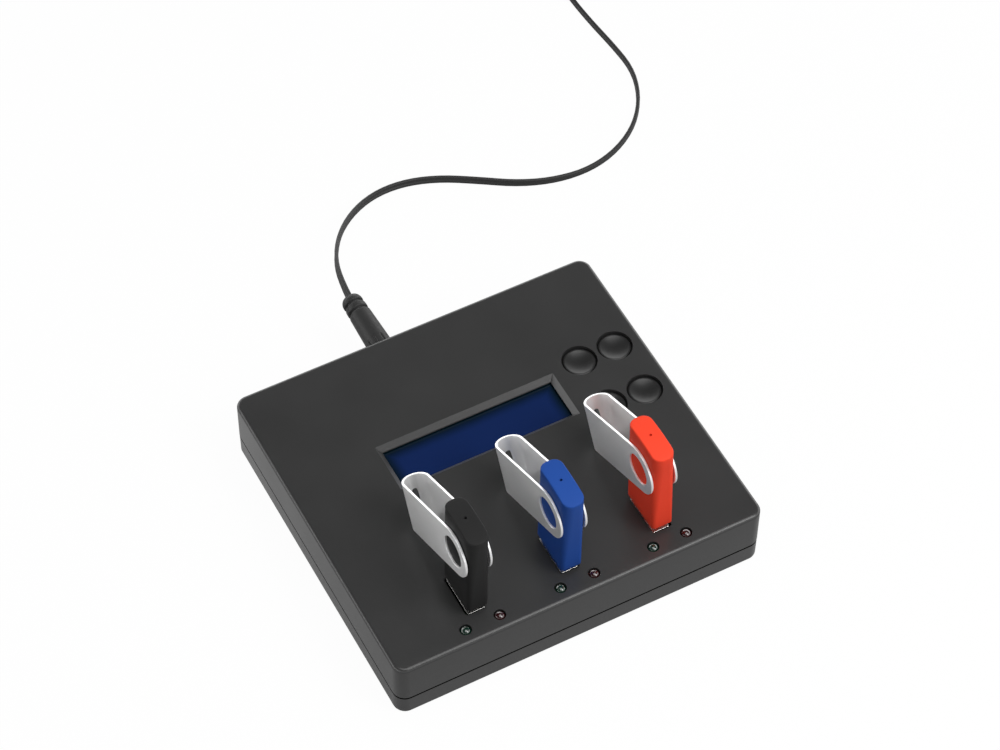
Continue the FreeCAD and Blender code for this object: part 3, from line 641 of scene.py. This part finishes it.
STEEL = Metal("steel", (0.62, 0.62, 0.63), rough=0.3)
CAN = Metal("capacitor_can", (0.70, 0.71, 0.73), rough=0.3, stretch=(1, 1, 6))
BRASS = Metal("contact_brass", (0.85, 0.62, 0.25), rough=0.25)
GREEN_LENS = Lens("green_lens", (0.008, 0.05, 0.03))
RED_LENS = Lens("red_lens", (0.06, 0.006, 0.008))
BOARD = Laminate("circuit_board", (0.012, 0.085, 0.03), (0.09, 0.16, 0.05))
FLOOR_WHITE = Paper("floor_white", (0.38,) * 3, glow=0.92)


def put(name: str, data: bpy.types.ID) -> Object:
    """Makes an object of its data and links it into the scene."""
    made = bpy.data.objects.new(name, data)
    bpy.context.scene.collection.objects.link(made)
    return made


def paint(mesh: Mesh, finish: Finish) -> None:
    """Gives a mesh one finish all over."""
    mesh.materials.clear()
    mesh.materials.append(finish.material())


def finish_piece(mesh: Mesh, finish: Finish, body: str,
                 replaced: tuple[str, ...]) -> Object:
    """Makes a piece of the object from a finished mesh.

    Args:
        mesh: the piece's mesh, whose name it takes.
        finish: its finish.
        body: the frame's body that it rides on.
        replaced: nodes of the frame that it stands for.

    Returns:
        The piece.
    """
    piece = put(mesh.name, mesh)
    paint(mesh, finish)
    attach(piece, body)
    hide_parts(*replaced)
    log.info("%s: %d faces, rides on %s", piece.name, len(mesh.polygons), body)
    return piece


def dress(node: str, finish: Finish) -> None:
    """Gives a node of the frame its finish, and leaves its shape alone."""
    paint(frame["nodes"][node].data, finish)
    log.info("%s: dressed as %s", node, finish.name)


def soften(piece: Object, width: float, segments: int = 2,
           above: float = 40.0) -> None:
    """Rounds a piece's edges.

    Args:
        piece: the piece.
        width: width of the rounding.
        segments: its steps.
        above: only edges that turn by more than this many degrees.
    """
    edge = piece.modifiers.new("edges", "BEVEL")
    edge.width = width
    edge.segments = segments
    edge.limit_method = "ANGLE"
    edge.angle_limit = math.radians(above)
    edge.harden_normals = True
    edge.use_clamp_overlap = True


def welded_copy(node: str, name: str) -> Mesh:
    """Copies a node's mesh under a name and merges its loose triangles."""
    source = frame["nodes"][node].data
    made = bpy.data.meshes.new(name)
    made.from_pydata(points_of(source).tolist(), [],
                     [tuple(face.vertices) for face in source.polygons])
    return sewn(made, CAD_WELD, 30, outward=False)


# Studio
def set_up(name: str, data: bpy.types.ID, place: Point | Array, axes: Array) -> Object:
    """Puts a lamp or a camera into the scene.

    Args:
        name: its name.
        data: its lamp or camera data.
        place: where it stands.
        axes: matrix whose columns are its right, up and back.

    Returns:
        The object.
    """
    made = put(name, data)
    made.location = place
    made.rotation_mode = "QUATERNION"
    made.rotation_quaternion = Matrix(axes.tolist()).to_quaternion()
    return made


@dataclass(frozen=True)
class Softbox:
    """A square lamp that faces the object."""

    name: str
    towards: Point
    distance: float
    size: float
    power: float

    def build(self, target: Point) -> None:
        """Hangs the lamp so that it faces a point."""
        data = bpy.data.lights.new(self.name, "AREA")
        data.shape, data.size, data.energy = "SQUARE", self.size, self.power
        back = unit(np.array(self.towards))
        across = unit(np.cross(ALMOST_Y, back))
        turn = np.stack([across, np.cross(back, across), back], axis=1)
        set_up(self.name, data, np.array(target) + back * self.distance, turn)


@dataclass
class Studio:
    """White floor, soft light and the camera.

    azimuth, elevation and roll are the camera's, in radians: azimuth 0 looks along +Y. For a
    mirror the walls are as bright as horizon, less in front, and the light falls to zenith
    between the two heights of ceiling. ambient is the light that falls on matt surfaces.
    """

    azimuth: float = -0.49784
    elevation: float = 0.91942
    roll: float = 0.011888
    place: Point = (-0.306408, -0.566146, 0.914843)
    focal_pixels: float = 3242.344
    image_width: int = 1000
    sensor: float = 36.0
    floor_size: float = 12.0
    ambient: float = 0.30
    horizon: float = 3.2
    zenith: float = 0.10
    ceiling: Pair = (0.15, 0.70)
    front: float = 0.45
    front_sides: Pair = (-0.8, -0.3)
    clip: Pair = (0.05, 50)
    target: Point = (0.0, 0.0, 0.03)
    lamps: tuple[Softbox, ...] = (Softbox("overhead", (0.10, -0.20, 1.0), 1.3, 1.0, 9.5),
                                  Softbox("front_right", (0.45, -0.60, 0.75), 1.3, 0.6, 6.8))

    def build(self) -> None:
        """Builds the camera, the floor, the world and the lamps."""
        self.build_camera()
        self.build_floor()
        self.build_world()
        for lamp in self.lamps:
            lamp.build(self.target)
        bpy.context.scene.view_settings.view_transform = "Standard"

    def build_camera(self) -> None:
        """Camera whose axes follow from the view's azimuth, elevation and roll.

        back = (sin a cos e, -cos a cos e, sin e), right = Z x back, up = back x right, and the
        roll turns right and up about back.
        """
        flat = math.cos(self.elevation)
        back = np.array([math.sin(self.azimuth) * flat, -math.cos(self.azimuth) * flat,
                         math.sin(self.elevation)])
        level = unit(np.cross((0, 0, 1), back))
        upright = np.cross(back, level)
        c, s = math.cos(self.roll), math.sin(self.roll)
        turn = np.stack([c * level + s * upright, c * upright - s * level, back], axis=1)
        data = bpy.data.cameras.new("camera")
        data.sensor_width = self.sensor
        data.lens = self.focal_pixels * self.sensor / self.image_width
        data.clip_start, data.clip_end = self.clip
        bpy.context.scene.camera = set_up("camera", data, self.place, turn)

    def build_floor(self) -> None:
        """Flat white floor at the height that the feet stand on."""
        reach = np.linspace(-self.floor_size / 2, self.floor_size / 2, 9)
        x, y = np.meshgrid(reach, reach)
        mesh = Sheet().add(np.stack([x, y, 0 * x], -1), around=False).mesh("floor")
        paint(mesh, FLOOR_WHITE)
        put("floor", mesh)

    def build_world(self) -> None:
        """Faint even light. A mirror sees the walls and the ceiling, the camera plain white."""
        world = bpy.data.worlds.new("studio")
        bpy.context.scene.world = world
        world.use_nodes = True
        graph = Graph(world.node_tree)
        ray = graph.node("LightPath")
        where = graph.node("TexCoord").out("Generated")
        split = graph.node("SeparateXYZ", {"Vector": where})
        around = split.out("Y").step(*self.front_sides)
        side = self.horizon * (self.front + (1 - self.front) * around)
        wall = side + (self.zenith - side) * split.out("Z").step(*self.ceiling)
        strength = (ray.out("Is Camera Ray") + ray.out("Is Diffuse Ray") * self.ambient
                    + graph.mirrored(ray) * wall)
        light = graph.node("Background", {"Color": WHITE_LIGHT, "Strength": strength})
        graph.end(light.out("Background"), "OutputWorld")


# Lead
@dataclass
class Lead:
    """The flat twin lead, from the plug's grip through its coil to the wall adapter.

    route holds the control points of the part that isn't coiled. The lead leans over by lean
    between two distances along it, and is twisted by twist where it leaves the grip. climb is
    the part of a turn in which the coil rises to its next layer.
    """

    width: float = 2.8 * MM
    lobe: float = 0.72 * MM
    lobe_offset: float = 0.68 * MM
    waist: float = 0.2 * MM
    route: tuple[Point, ...] = (
        (-0.0109, 0.0896, 0.01755), (-0.0098, 0.0995, 0.0168), (-0.0060, 0.1115, 0.0136),
        (0.0016, 0.1243, 0.0094), (0.0124, 0.1348, 0.0052), (0.0246, 0.1410, 0.0022),
        (0.0370, 0.1414, 0.0014), (0.0494, 0.1372, 0.0014), (0.0616, 0.1297, 0.0014),
        (0.0738, 0.1216, 0.0014), (0.0868, 0.1166, 0.0014), (0.1003, 0.1152, 0.0014),
        (0.1136, 0.1184, 0.0014), (0.1260, 0.1262, 0.0014), (0.1350, 0.1378, 0.0014),
        (0.1398, 0.1516, 0.0014), (0.1392, 0.1660, 0.0014), (0.1377, 0.1805, 0.0014),
        (0.1369, 0.1945, 0.0015), (0.1372, 0.2080, 0.0018), (0.13705, 0.2210, 0.00185))
    coil: Point = (0.158, 0.225, 0.00185)
    coil_radius: float = 20.95 * MM
    pitch: float = 3.3 * MM
    turns: int = 3
    layers: int = 4
    points_per_turn: int = 24
    climb: float = 0.5
    tail: tuple[float, ...] = (0.231, 0.238)
    lean: float = math.radians(35)
    lean_from: float = 40 * MM
    lean_to: float = 145 * MM
    twist: float = math.radians(-38)
    twist_to: float = 27 * MM

    def winding(self) -> Array:
        """Points of the coil's turns.

        Returns:
            Centre + radius * (cos a, sin a), where a falls by a full turn per turn, the radius
            falls and rises by one pitch per turn, layer after layer, and the height rises by
            one pitch in the half turn where the spiral turns back.
        """
        total = self.turns * self.layers
        done = np.linspace(0, total, total * self.points_per_turn + 1)
        layer = np.minimum(np.floor(done / self.turns), self.layers - 1)
        part = done - layer * self.turns
        wound = np.where(layer % 2 == 0, part, self.turns - part)
        radius = self.coil_radius - self.pitch * wound
        turns_back = np.arange(1, self.layers) * self.turns
        share = np.clip((done[:, None] - turns_back) / self.climb + 0.5, 0, 1)
        climbed = (share ** 2 * (3 - 2 * share)).sum(axis=1)
        angle = math.pi - 2 * math.pi * done
        return np.array(self.coil) + np.stack([radius * np.cos(angle), radius * np.sin(angle),
                                               self.pitch * climbed], -1)

    def path(self) -> Array:
        """Points along the smooth curve that the control points give.

        Returns:
            The points of a NURBS curve of order 3 through route, coil and tail.
        """
        coil = self.winding()
        tail = [(coil[-1, 0], y, coil[-1, 2]) for y in self.tail]
        control = np.concatenate([np.array(self.route), coil, np.array(tail)])
        curve = bpy.data.curves.new("lead_line", "CURVE")
        curve.dimensions = "3D"
        spline = curve.splines.new("NURBS")
        spline.points.add(len(control) - 1)
        spline.points.foreach_set("co", np.c_[control, np.ones(len(control))].ravel())
        spline.order_u = 3
        spline.use_endpoint_u = True
        spline.resolution_u = 4
        holder = bpy.data.objects.new("lead_line", curve)
        line = bpy.data.meshes.new_from_object(holder)
        points = points_of(line)
        bpy.data.objects.remove(holder)
        bpy.data.meshes.remove(line)
        apart = np.linalg.norm(np.diff(points, axis=0), axis=1) > WELD
        return points[np.concatenate([[True], apart])]

    def section(self, count: int = 24) -> Array:
        """Two round lobes side by side with a groove between them.

        Args:
            count: points round it.

        Returns:
            Points (a, b): b = half width * sin t, and a is the lobe's circle beyond its centre,
            and between the centres the lobe less a groove of cos squared.
        """
        angle = circle(count)
        b = (self.lobe + self.lobe_offset) * np.sin(angle)
        beyond = np.maximum(np.abs(b) - self.lobe_offset, 0)
        round_part = np.sqrt(np.maximum(self.lobe ** 2 - beyond ** 2, 0))
        groove = self.waist * np.cos(np.minimum(np.abs(b) / self.lobe_offset, 1)
                                     * math.pi / 2) ** 2
        return np.stack([np.sign(np.cos(angle).round(9)) * (round_part - groove), b], -1)

    def build(self, grip: Object) -> Object:
        """Builds the lead on edge, twisted at the grip and leaning for a stretch behind the case.

        Args:
            grip: the plug's grip, which the lead leaves; not used.

        Returns:
            The lead.
        """
        line = self.path()
        steps = np.linalg.norm(np.diff(line, axis=0), axis=1)
        run = np.concatenate([[0], np.cumsum(steps)])
        heading = unit(np.gradient(line, axis=0))
        level = unit(np.cross(heading, (0, 0, 1)))
        upright = np.cross(level, heading)
        middle, half = (self.lean_from + self.lean_to) / 2, (self.lean_to - self.lean_from) / 2
        tilt = self.lean * np.clip(1 - ((run - middle) / half) ** 2, 0, 1)[:, None]
        tilt = tilt + self.twist * np.clip(1 - run / self.twist_to, 0, 1)[:, None]
        across = np.cos(tilt) * level + np.sin(tilt) * upright
        upward = np.cos(tilt) * upright - np.sin(tilt) * level
        grid = closed_ends(carried(self.section(), line, across, upward))
        mesh = Sheet().add(grid).mesh("power_lead_flex", sharp=60)
        lead = finish_piece(mesh, LEAD_BLACK, "root", ("power_lead", "power_coil"))
        log.info("lead: %.4f m", run[-1])
        return lead


@dataclass
class Plug:
    """The moulded grip of the plug at the case's rear wall."""

    axis_x: float = -10.9 * MM
    axis_z: float = 17.55 * MM
    start: float = 62.9 * MM
    length: float = 26.7 * MM
    root_radius: float = 4.65 * MM
    neck_radius: float = 3.75 * MM
    grooves: tuple[float, ...] = (19.3 * MM, 22.8 * MM)
    groove_width: float = 0.95 * MM
    groove_depth: float = 1.0 * MM
    dome: float = 2.4 * MM
    end_radius: float = 2.0 * MM
    ribs: int = 10
    rib_from: float = 1.2 * MM
    rib_to: float = 5.2 * MM
    rib_depth: float = 0.35 * MM
    rib_fade: float = 0.6 * MM
    foot_cut: float = 0.3 * MM
    foot_run: float = 0.4 * MM

    def build(self) -> Object:
        """Builds the grip.

        Its radius at a distance s along the lead is a straight taper from root to neck, less a
        soft-edged notch at each groove, drawn in at the end by a quarter of an ellipse. Near
        the case it is fluted: less a narrow dip, ribs times round. Its first foot_run is cut
        back by up to foot_cut.

        Returns:
            The grip.
        """
        s = np.unique(np.concatenate([np.linspace(0, self.length, 150),
                                      self.length - self.dome * np.linspace(0, 1, 24) ** 2]))
        radius = self.root_radius + (self.neck_radius - self.root_radius) * s / self.length
        for groove in self.grooves:
            away = np.abs(s - groove) / (self.groove_width / 2)
            radius = radius - self.groove_depth / (1 + away ** 6)
        into = np.clip((s - self.length + self.dome) / self.dome, 0, 1)
        radius = self.end_radius + (radius - self.end_radius) * np.sqrt(1 - into ** 2)
        radius = radius - self.foot_cut * np.clip(1 - s / self.foot_run, 0, 1) ** 2
        angle = circle(120)
        flute = np.clip(np.cos(self.ribs * angle), 0, 1)[None] ** 6
        window = (np.clip((s - self.rib_from) / self.rib_fade, 0, 1)
                  * np.clip((self.rib_to - s) / self.rib_fade, 0, 1))[:, None]
        spread = radius[:, None] - self.rib_depth * flute * window
        grid = np.stack([self.axis_x + spread * np.cos(angle),
                         np.broadcast_to((self.start + s)[:, None], spread.shape),
                         self.axis_z + spread * np.sin(angle)], -1)
        mesh = Sheet().add(closed_ends(grid)).mesh("plug_grip", sharp=70)
        return finish_piece(mesh, LEAD_BLACK, "root", ("power_plug_grip",))


# Case
@dataclass
class Case:
    """The two shells, the display, and what shows through their openings."""

    edge: float = 0.16 * MM
    base_edge: float = 0.05 * MM
    display_middle: Pair = (-0.4 * MM, 12.15 * MM)
    window: Pair = (65.0 * MM, 15.9 * MM)
    fade: float = 5.0 * MM

    def build(self) -> None:
        """Builds the shells and dresses the rest."""
        for node, width in (("top_shell", self.edge), ("bottom_shell", self.base_edge)):
            mesh = welded_copy(node, node + "_moulding")
            piece = finish_piece(mesh, BLACK_CASE, "root", (node,))
            soften(piece, width)
        # the display's blue, and a dark colour fading in by fade at its rear and side edges:
        # painted shade of the window's walls
        glass = DisplayGlass("display_glass", (0.0052, 0.018, 0.086), (0.001, 0.007, 0.011),
                             self.display_middle,
                             (self.window[0] / 2, self.window[1] / 2), self.fade)
        dress("lcd_glass", glass)
        plain = {"rubber_feet": RUBBER, "case_screws": STEEL, "main_board": BOARD,
                 "board_screws": STEEL, "controller_chip": CHIP, "filter_capacitors": CAN,
                 "lcd_board": BOARD, "lcd_frame": FRAME_BLACK, "lcd_backlight": WHITE,
                 "lcd_header": CHIP, "tact_switches": CHIP, "usb_contacts": BRASS,
                 "dc_jack_housing": JACK, "dc_jack_pin": PLATED, "coil_ties": TIE,
                 "power_plug_barrel": PLATED, "adapter_relief": LEAD_BLACK,
                 "adapter_case": ADAPTER_BLACK, "adapter_blades": PLATED}
        for node, finish in plain.items():
            dress(node, finish)


@dataclass
class Buttons:
    """Four round keys with dished tops.

    flange is its radius, top and low side, stem and bore each a radius and a height, and the
    cuts say how far the rounding of an edge goes back from its corner.
    """

    places: tuple[Pair, ...] = (
        (44.75 * MM, 22.5 * MM), (58.7 * MM, 22.5 * MM),
        (44.75 * MM, 1.2 * MM), (58.7 * MM, 1.2 * MM))
    top: float = 24.65 * MM
    radius: float = 5.8 * MM
    dish_radius: float = 5.15 * MM
    dish_depth: float = 0.8 * MM
    flange: Triple = (6.65 * MM, 22.9 * MM, 21.9 * MM)
    stem: Pair = (3.0 * MM, 17.5 * MM)
    bore: Pair = (1.8 * MM, 20.6 * MM)
    dish_cut: float = 0.25 * MM
    lip_cut: float = 0.2 * MM
    edge_cut: float = 0.55 * MM
    flange_cut: float = 0.1 * MM

    def profile(self) -> Array:
        """The key from the middle of its dish to the top of its bore.

        Returns:
            Points (radius, height). The dish is a parabola: top - depth * (1 - (r / R) ** 2).
        """
        r = np.linspace(0, self.dish_radius - self.dish_cut, 20)
        dish = np.stack([r, self.top - self.dish_depth * (1 - (r / self.dish_radius) ** 2)], -1)
        flange_r, flange_top, flange_low = self.flange
        stem_r, stem_low = self.stem
        bore_r, bore_top = self.bore
        edge = [(*dish[-1], 0), (self.dish_radius, self.top, self.lip_cut),
                (self.radius, self.top, self.edge_cut),
                (self.radius, flange_top, 0), (flange_r, flange_top, self.flange_cut),
                (flange_r, flange_low, self.flange_cut), (stem_r, flange_low, 0),
                (stem_r, stem_low, self.lip_cut), (bore_r, stem_low, 0),
                (bore_r, bore_top, 0), (0.0, bore_top, 0)]
        return np.concatenate([dish[:-1], rounded_profile(edge)])

    def build(self) -> None:
        """Turns each key about its own axis."""
        for number, (x, y) in enumerate(self.places, 1):
            grid = turned(self.profile(), (x, y, 0), (0.0, 0.0, 1.0))
            mesh = Sheet().add(grid).mesh(f"button_key_{number}")
            finish_piece(mesh, BUTTON_BLACK, f"button_{number}",
                         (f"button_cap_{number}",))
            dress(f"switch_plunger_{number}", WHITE)


@dataclass
class Ports:
    """The sockets and the pair of lamps at each port."""

    count: int = 3

    def build(self) -> None:
        """Dresses the sockets and the lamps."""
        for number in range(1, self.count + 1):
            dress(f"usb_shell_{number}", PLATED)
            dress(f"usb_insulator_{number}", CHIP)
            dress(f"green_led_{number}", GREEN_LENS)
            dress(f"red_led_{number}", RED_LENS)


# Drives
class Shell(Enum):
    """The plastics of the drives, from left to right."""

    BLACK = drive_plastic("drive_black", (0.021,) * 3)
    BLUE = drive_plastic("drive_blue", (0.019, 0.075, 0.335))
    RED = drive_plastic("drive_red", (0.96, 0.070, 0.032))


@dataclass
class Drive:
    """A flash drive: crowned shell with round bosses, steel plug and what is inside.

    base is the foot's half sizes and corner radius, mouth the plug hole's half sizes and the
    height of its end, and foot_rim and rim are the radii of the rims at foot and top.
    """

    number: int
    shell: Shell
    socket_x: float
    socket_y: float = -44.2 * MM
    half_x: float = 3.9 * MM
    half_y: float = 9.9 * MM
    corner: float = 3.3 * MM
    base: Triple = (3.85 * MM, 8.8 * MM, 1.2 * MM)
    foot: float = 27.7 * MM
    peak: float = 67.2 * MM
    crown: float = 1.0 * MM
    rim: float = 0.5 * MM
    lean_height: float = 19.8 * MM
    boss_radius: float = 5.55 * MM
    boss_reach: float = 4.35 * MM
    pivot_height: float = 52.3 * MM
    pin_radius: float = 0.5 * MM
    pin_y: float = 0.7 * MM
    mouth: Triple = (2.26 * MM, 6.01 * MM, 32.0 * MM)
    mouth_corner: float = 0.5 * MM
    foot_rim: float = 0.3 * MM
    pin_depth: float = 4.0 * MM
    boss_cut: float = 0.25 * MM

    def set_in_port(self, grid: Array) -> Array:
        """Leans a shape as its pull joint leans and carries it to its socket.

        Args:
            grid: points about the drive's own upright axis.

        Returns:
            The points in the frame.
        """
        x, y, z = joint(f"drive_{self.number}_pull")["axis"]
        upright = grid - np.array([0, 0, self.lean_height])
        leaned = swung(swung(upright, math.asin(y), 2, 1), math.atan2(x, z), 2, 0)
        return leaned + np.array([self.socket_x, self.socket_y, self.lean_height])

    def top_height(self, y: Array) -> Array:
        """Height of the crown: peak - R + sqrt(R^2 - y^2), a circle through middle and ends."""
        radius = (self.half_y ** 2 + self.crown ** 2) / (2 * self.crown)
        return self.peak - (radius - np.sqrt(radius ** 2 - y ** 2))

    def inset(self, distance: float, share: float = 1.0) -> Array:
        """The drive's outline, drawn in by a distance all round.

        Args:
            distance: how far it is drawn in.
            share: 0 at the foot, whose corners are sharper, to 1 at the top end.

        Returns:
            The foot's outline plus share times its difference to the top's.
        """
        low = rounded_outline(*(size - distance for size in self.base))
        high = rounded_outline(self.half_x - distance, self.half_y - distance,
                               self.corner - distance)
        return low + (high - low) * share

    def shell_grid(self) -> Array:
        """Rings from inside the plug's mouth, up the walls, over the crown, into the pin hole.

        Returns:
            Grid of rings. The walls rise from foot to the crown's height at each point's own y,
            rims are quarter circles, and on the crown the outline shrinks evenly to the pin
            hole's circle.
        """
        rings = []

        def ring(outline: Array, height: Array | float) -> None:
            """Adds an outline at a height."""
            level = np.broadcast_to(height, outline.shape[:1])
            rings.append(np.concatenate([outline, level[:, None]], axis=1))

        mouth = rounded_outline(self.mouth[0], self.mouth[1], self.mouth_corner)
        ring(mouth * 0, self.mouth[2])
        ring(mouth, self.mouth[2])
        ring(mouth, self.foot)
        for turn in np.linspace(0, math.pi / 2, 4):
            ring(self.inset(self.foot_rim * (1 - math.sin(turn)), 0.0),
                 self.foot + self.foot_rim * (1 - math.cos(turn)))
        outline = self.inset(0.0)
        shoulder = self.top_height(outline[:, 1]) - self.rim
        base = self.foot + self.foot_rim
        for share in np.linspace(0, 1, 14)[1:-1]:
            ring(self.inset(0.0, share), base + share * (shoulder - base))
        for turn in np.linspace(0, math.pi / 2, 6):
            drawn = self.inset(self.rim * (1 - math.cos(turn)))
            ring(drawn, self.top_height(drawn[:, 1]) - self.rim * (1 - math.sin(turn)))
        edge = self.inset(self.rim)
        centre = np.array([0.0, self.pin_y])
        hole = centre + self.pin_radius * unit(edge - centre)
        for share in np.linspace(0, 1, 12)[1:]:
            drawn = edge + (hole - edge) * share
            ring(drawn, self.top_height(drawn[:, 1]))
        ring(hole, self.peak - self.pin_depth)
        ring(hole * 0 + centre, self.peak - self.pin_depth)
        return np.stack(rings)

    def build(self) -> None:
        """Builds the shell and its bosses, and dresses the plug and the inside."""
        finish = self.shell.value
        body = f"drive_{self.number}"
        node = f"drive_body_{self.number}"
        mesh = Sheet().add(self.set_in_port(self.shell_grid())).mesh(f"drive_shell_{self.number}")
        finish_piece(mesh, finish, body, (node,))
        reach, radius = self.boss_reach, self.boss_radius
        profile = rounded_profile([(0.0, -reach, 0), (radius, -reach, self.boss_cut),
                                   (radius, reach, self.boss_cut), (0.0, reach, 0)])
        boss = self.set_in_port(turned(profile, (0, 0, self.pivot_height), (1.0, 0.0, 0.0)))
        mesh = Sheet().add(boss).mesh(f"drive_boss_{self.number}")
        finish_piece(mesh, finish, body, (node,))
        dress(f"drive_plug_{self.number}", PLATED)
        dress(f"drive_core_{self.number}", CHIP)
        dress(f"drive_board_{self.number}", BOARD)


@dataclass
class Clip:
    """A swivel clip: a flat blank with two ring holes and a slot, bent into a U.

    The blank's s runs along the strap from the middle of the bend, and w across it. slot is
    the slot's end radius and how far its ends lie from its middle.
    """

    number: int
    thickness: float = 0.8 * MM
    half_x: float = 4.9 * MM
    half_width: float = 9.0 * MM
    length: float = 40.3 * MM
    ring: float = 5.6 * MM
    slot: Pair = (1.25 * MM, 2.5 * MM)
    tilt: float = math.radians(26.5)
    around: int = 96
    cut_edge: float = 0.14 * MM

    def bent(self, blank: Array) -> Array:
        """Bends the blank into the U and sets it at its pivot.

        Args:
            blank: points (s, w).

        Returns:
            Within the bend x = m sin(s / m) and y = end + m cos(s / m), where m is the bend's
            middle radius. Past it x stays and y falls with s. w is the height. All is then
            tilted about the pivot.
        """
        middle = self.half_x - self.thickness / 2
        end = self.length - self.half_x
        s, w = blank[..., 0], blank[..., 1]
        angle = np.clip(s / middle, -math.pi / 2, math.pi / 2)
        past = np.maximum(np.abs(s) - middle * math.pi / 2, 0)
        shape = np.stack([middle * np.sin(angle), end + middle * np.cos(angle) - past, w], -1)
        swivel = joint(f"clip_{self.number}_swivel")
        side = math.atan2(-swivel["axis"][2], swivel["axis"][0])
        return swung(swung(shape, -self.tilt, 1, 2), side, 2, 0) + np.array(swivel["pos_m"])

    def patches(self) -> list[tuple[Array, bool]]:
        """The blank as grids that share their edges.

        Returns:
            Grids of points (s, w), each with whether it closes round. The slot's and the ring
            holes' grids run from the hole to a square as wide as the strap, or to its round
            end, and the arms fill what is between.
        """
        width = self.half_width
        middle = self.half_x - self.thickness / 2
        pivot = middle * math.pi / 2 + self.length - self.half_x
        angle = circle(self.around)
        c, s = np.cos(angle), np.sin(angle)
        ray = np.stack([c, s], -1)
        square = width * ray / np.maximum(np.abs(c), np.abs(s))[:, None]
        round_end = np.where(c[:, None] > 0, width * ray, square)
        slot_r, slot_run = self.slot
        slot = np.stack([slot_r * c, slot_r * s + slot_run * np.clip(1.6 * s, -1, 1)], -1)
        share = np.linspace(0, 1, 19)[:, None, None]
        grids = [(slot + (square - slot) * share, True)]
        cross = width * np.tan(np.linspace(-math.pi / 4, math.pi / 4, self.around // 4 + 1))
        along, over = np.meshgrid(np.linspace(width, pivot - width, 22), cross, indexing="ij")
        ends = self.ring * ray + (round_end - self.ring * ray) * share[::3]
        for side in (1, -1):
            grids.append((np.stack([side * along, over], -1), False))
            grids.append((np.stack([side * (pivot + ends[..., 0]), ends[..., 1]], -1), True))
        return grids

    def build(self) -> None:
        """Builds the clip with its sheet's thickness and rounded cut edges."""
        sheet = Sheet()
        for blank, around in self.patches():
            sheet.add(self.bent(blank), around)
        mesh = sheet.mesh(f"swivel_clip_{self.number}", sharp=40)
        clip = finish_piece(mesh, CLIP_STEEL, f"clip_{self.number}",
                            (f"drive_clip_{self.number}",))
        wall = clip.modifiers.new("thickness", "SOLIDIFY")
        wall.thickness, wall.offset = self.thickness, 0.0
        soften(clip, self.cut_edge, 3, 55.0)


def main() -> None:
    logging.basicConfig(level=logging.INFO, format="%(name)s %(message)s")
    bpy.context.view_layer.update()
    Studio().build()
    Lead().build(Plug().build())
    Case().build()
    Buttons().build()
    Ports().build()
    places = (-34.6 * MM, 0.3 * MM, 35.0 * MM)
    for number, (shell, x) in enumerate(zip(Shell, places), 1):
        Drive(number, shell, x).build()
        Clip(number).build()


if __name__ == "__main__":
    main()
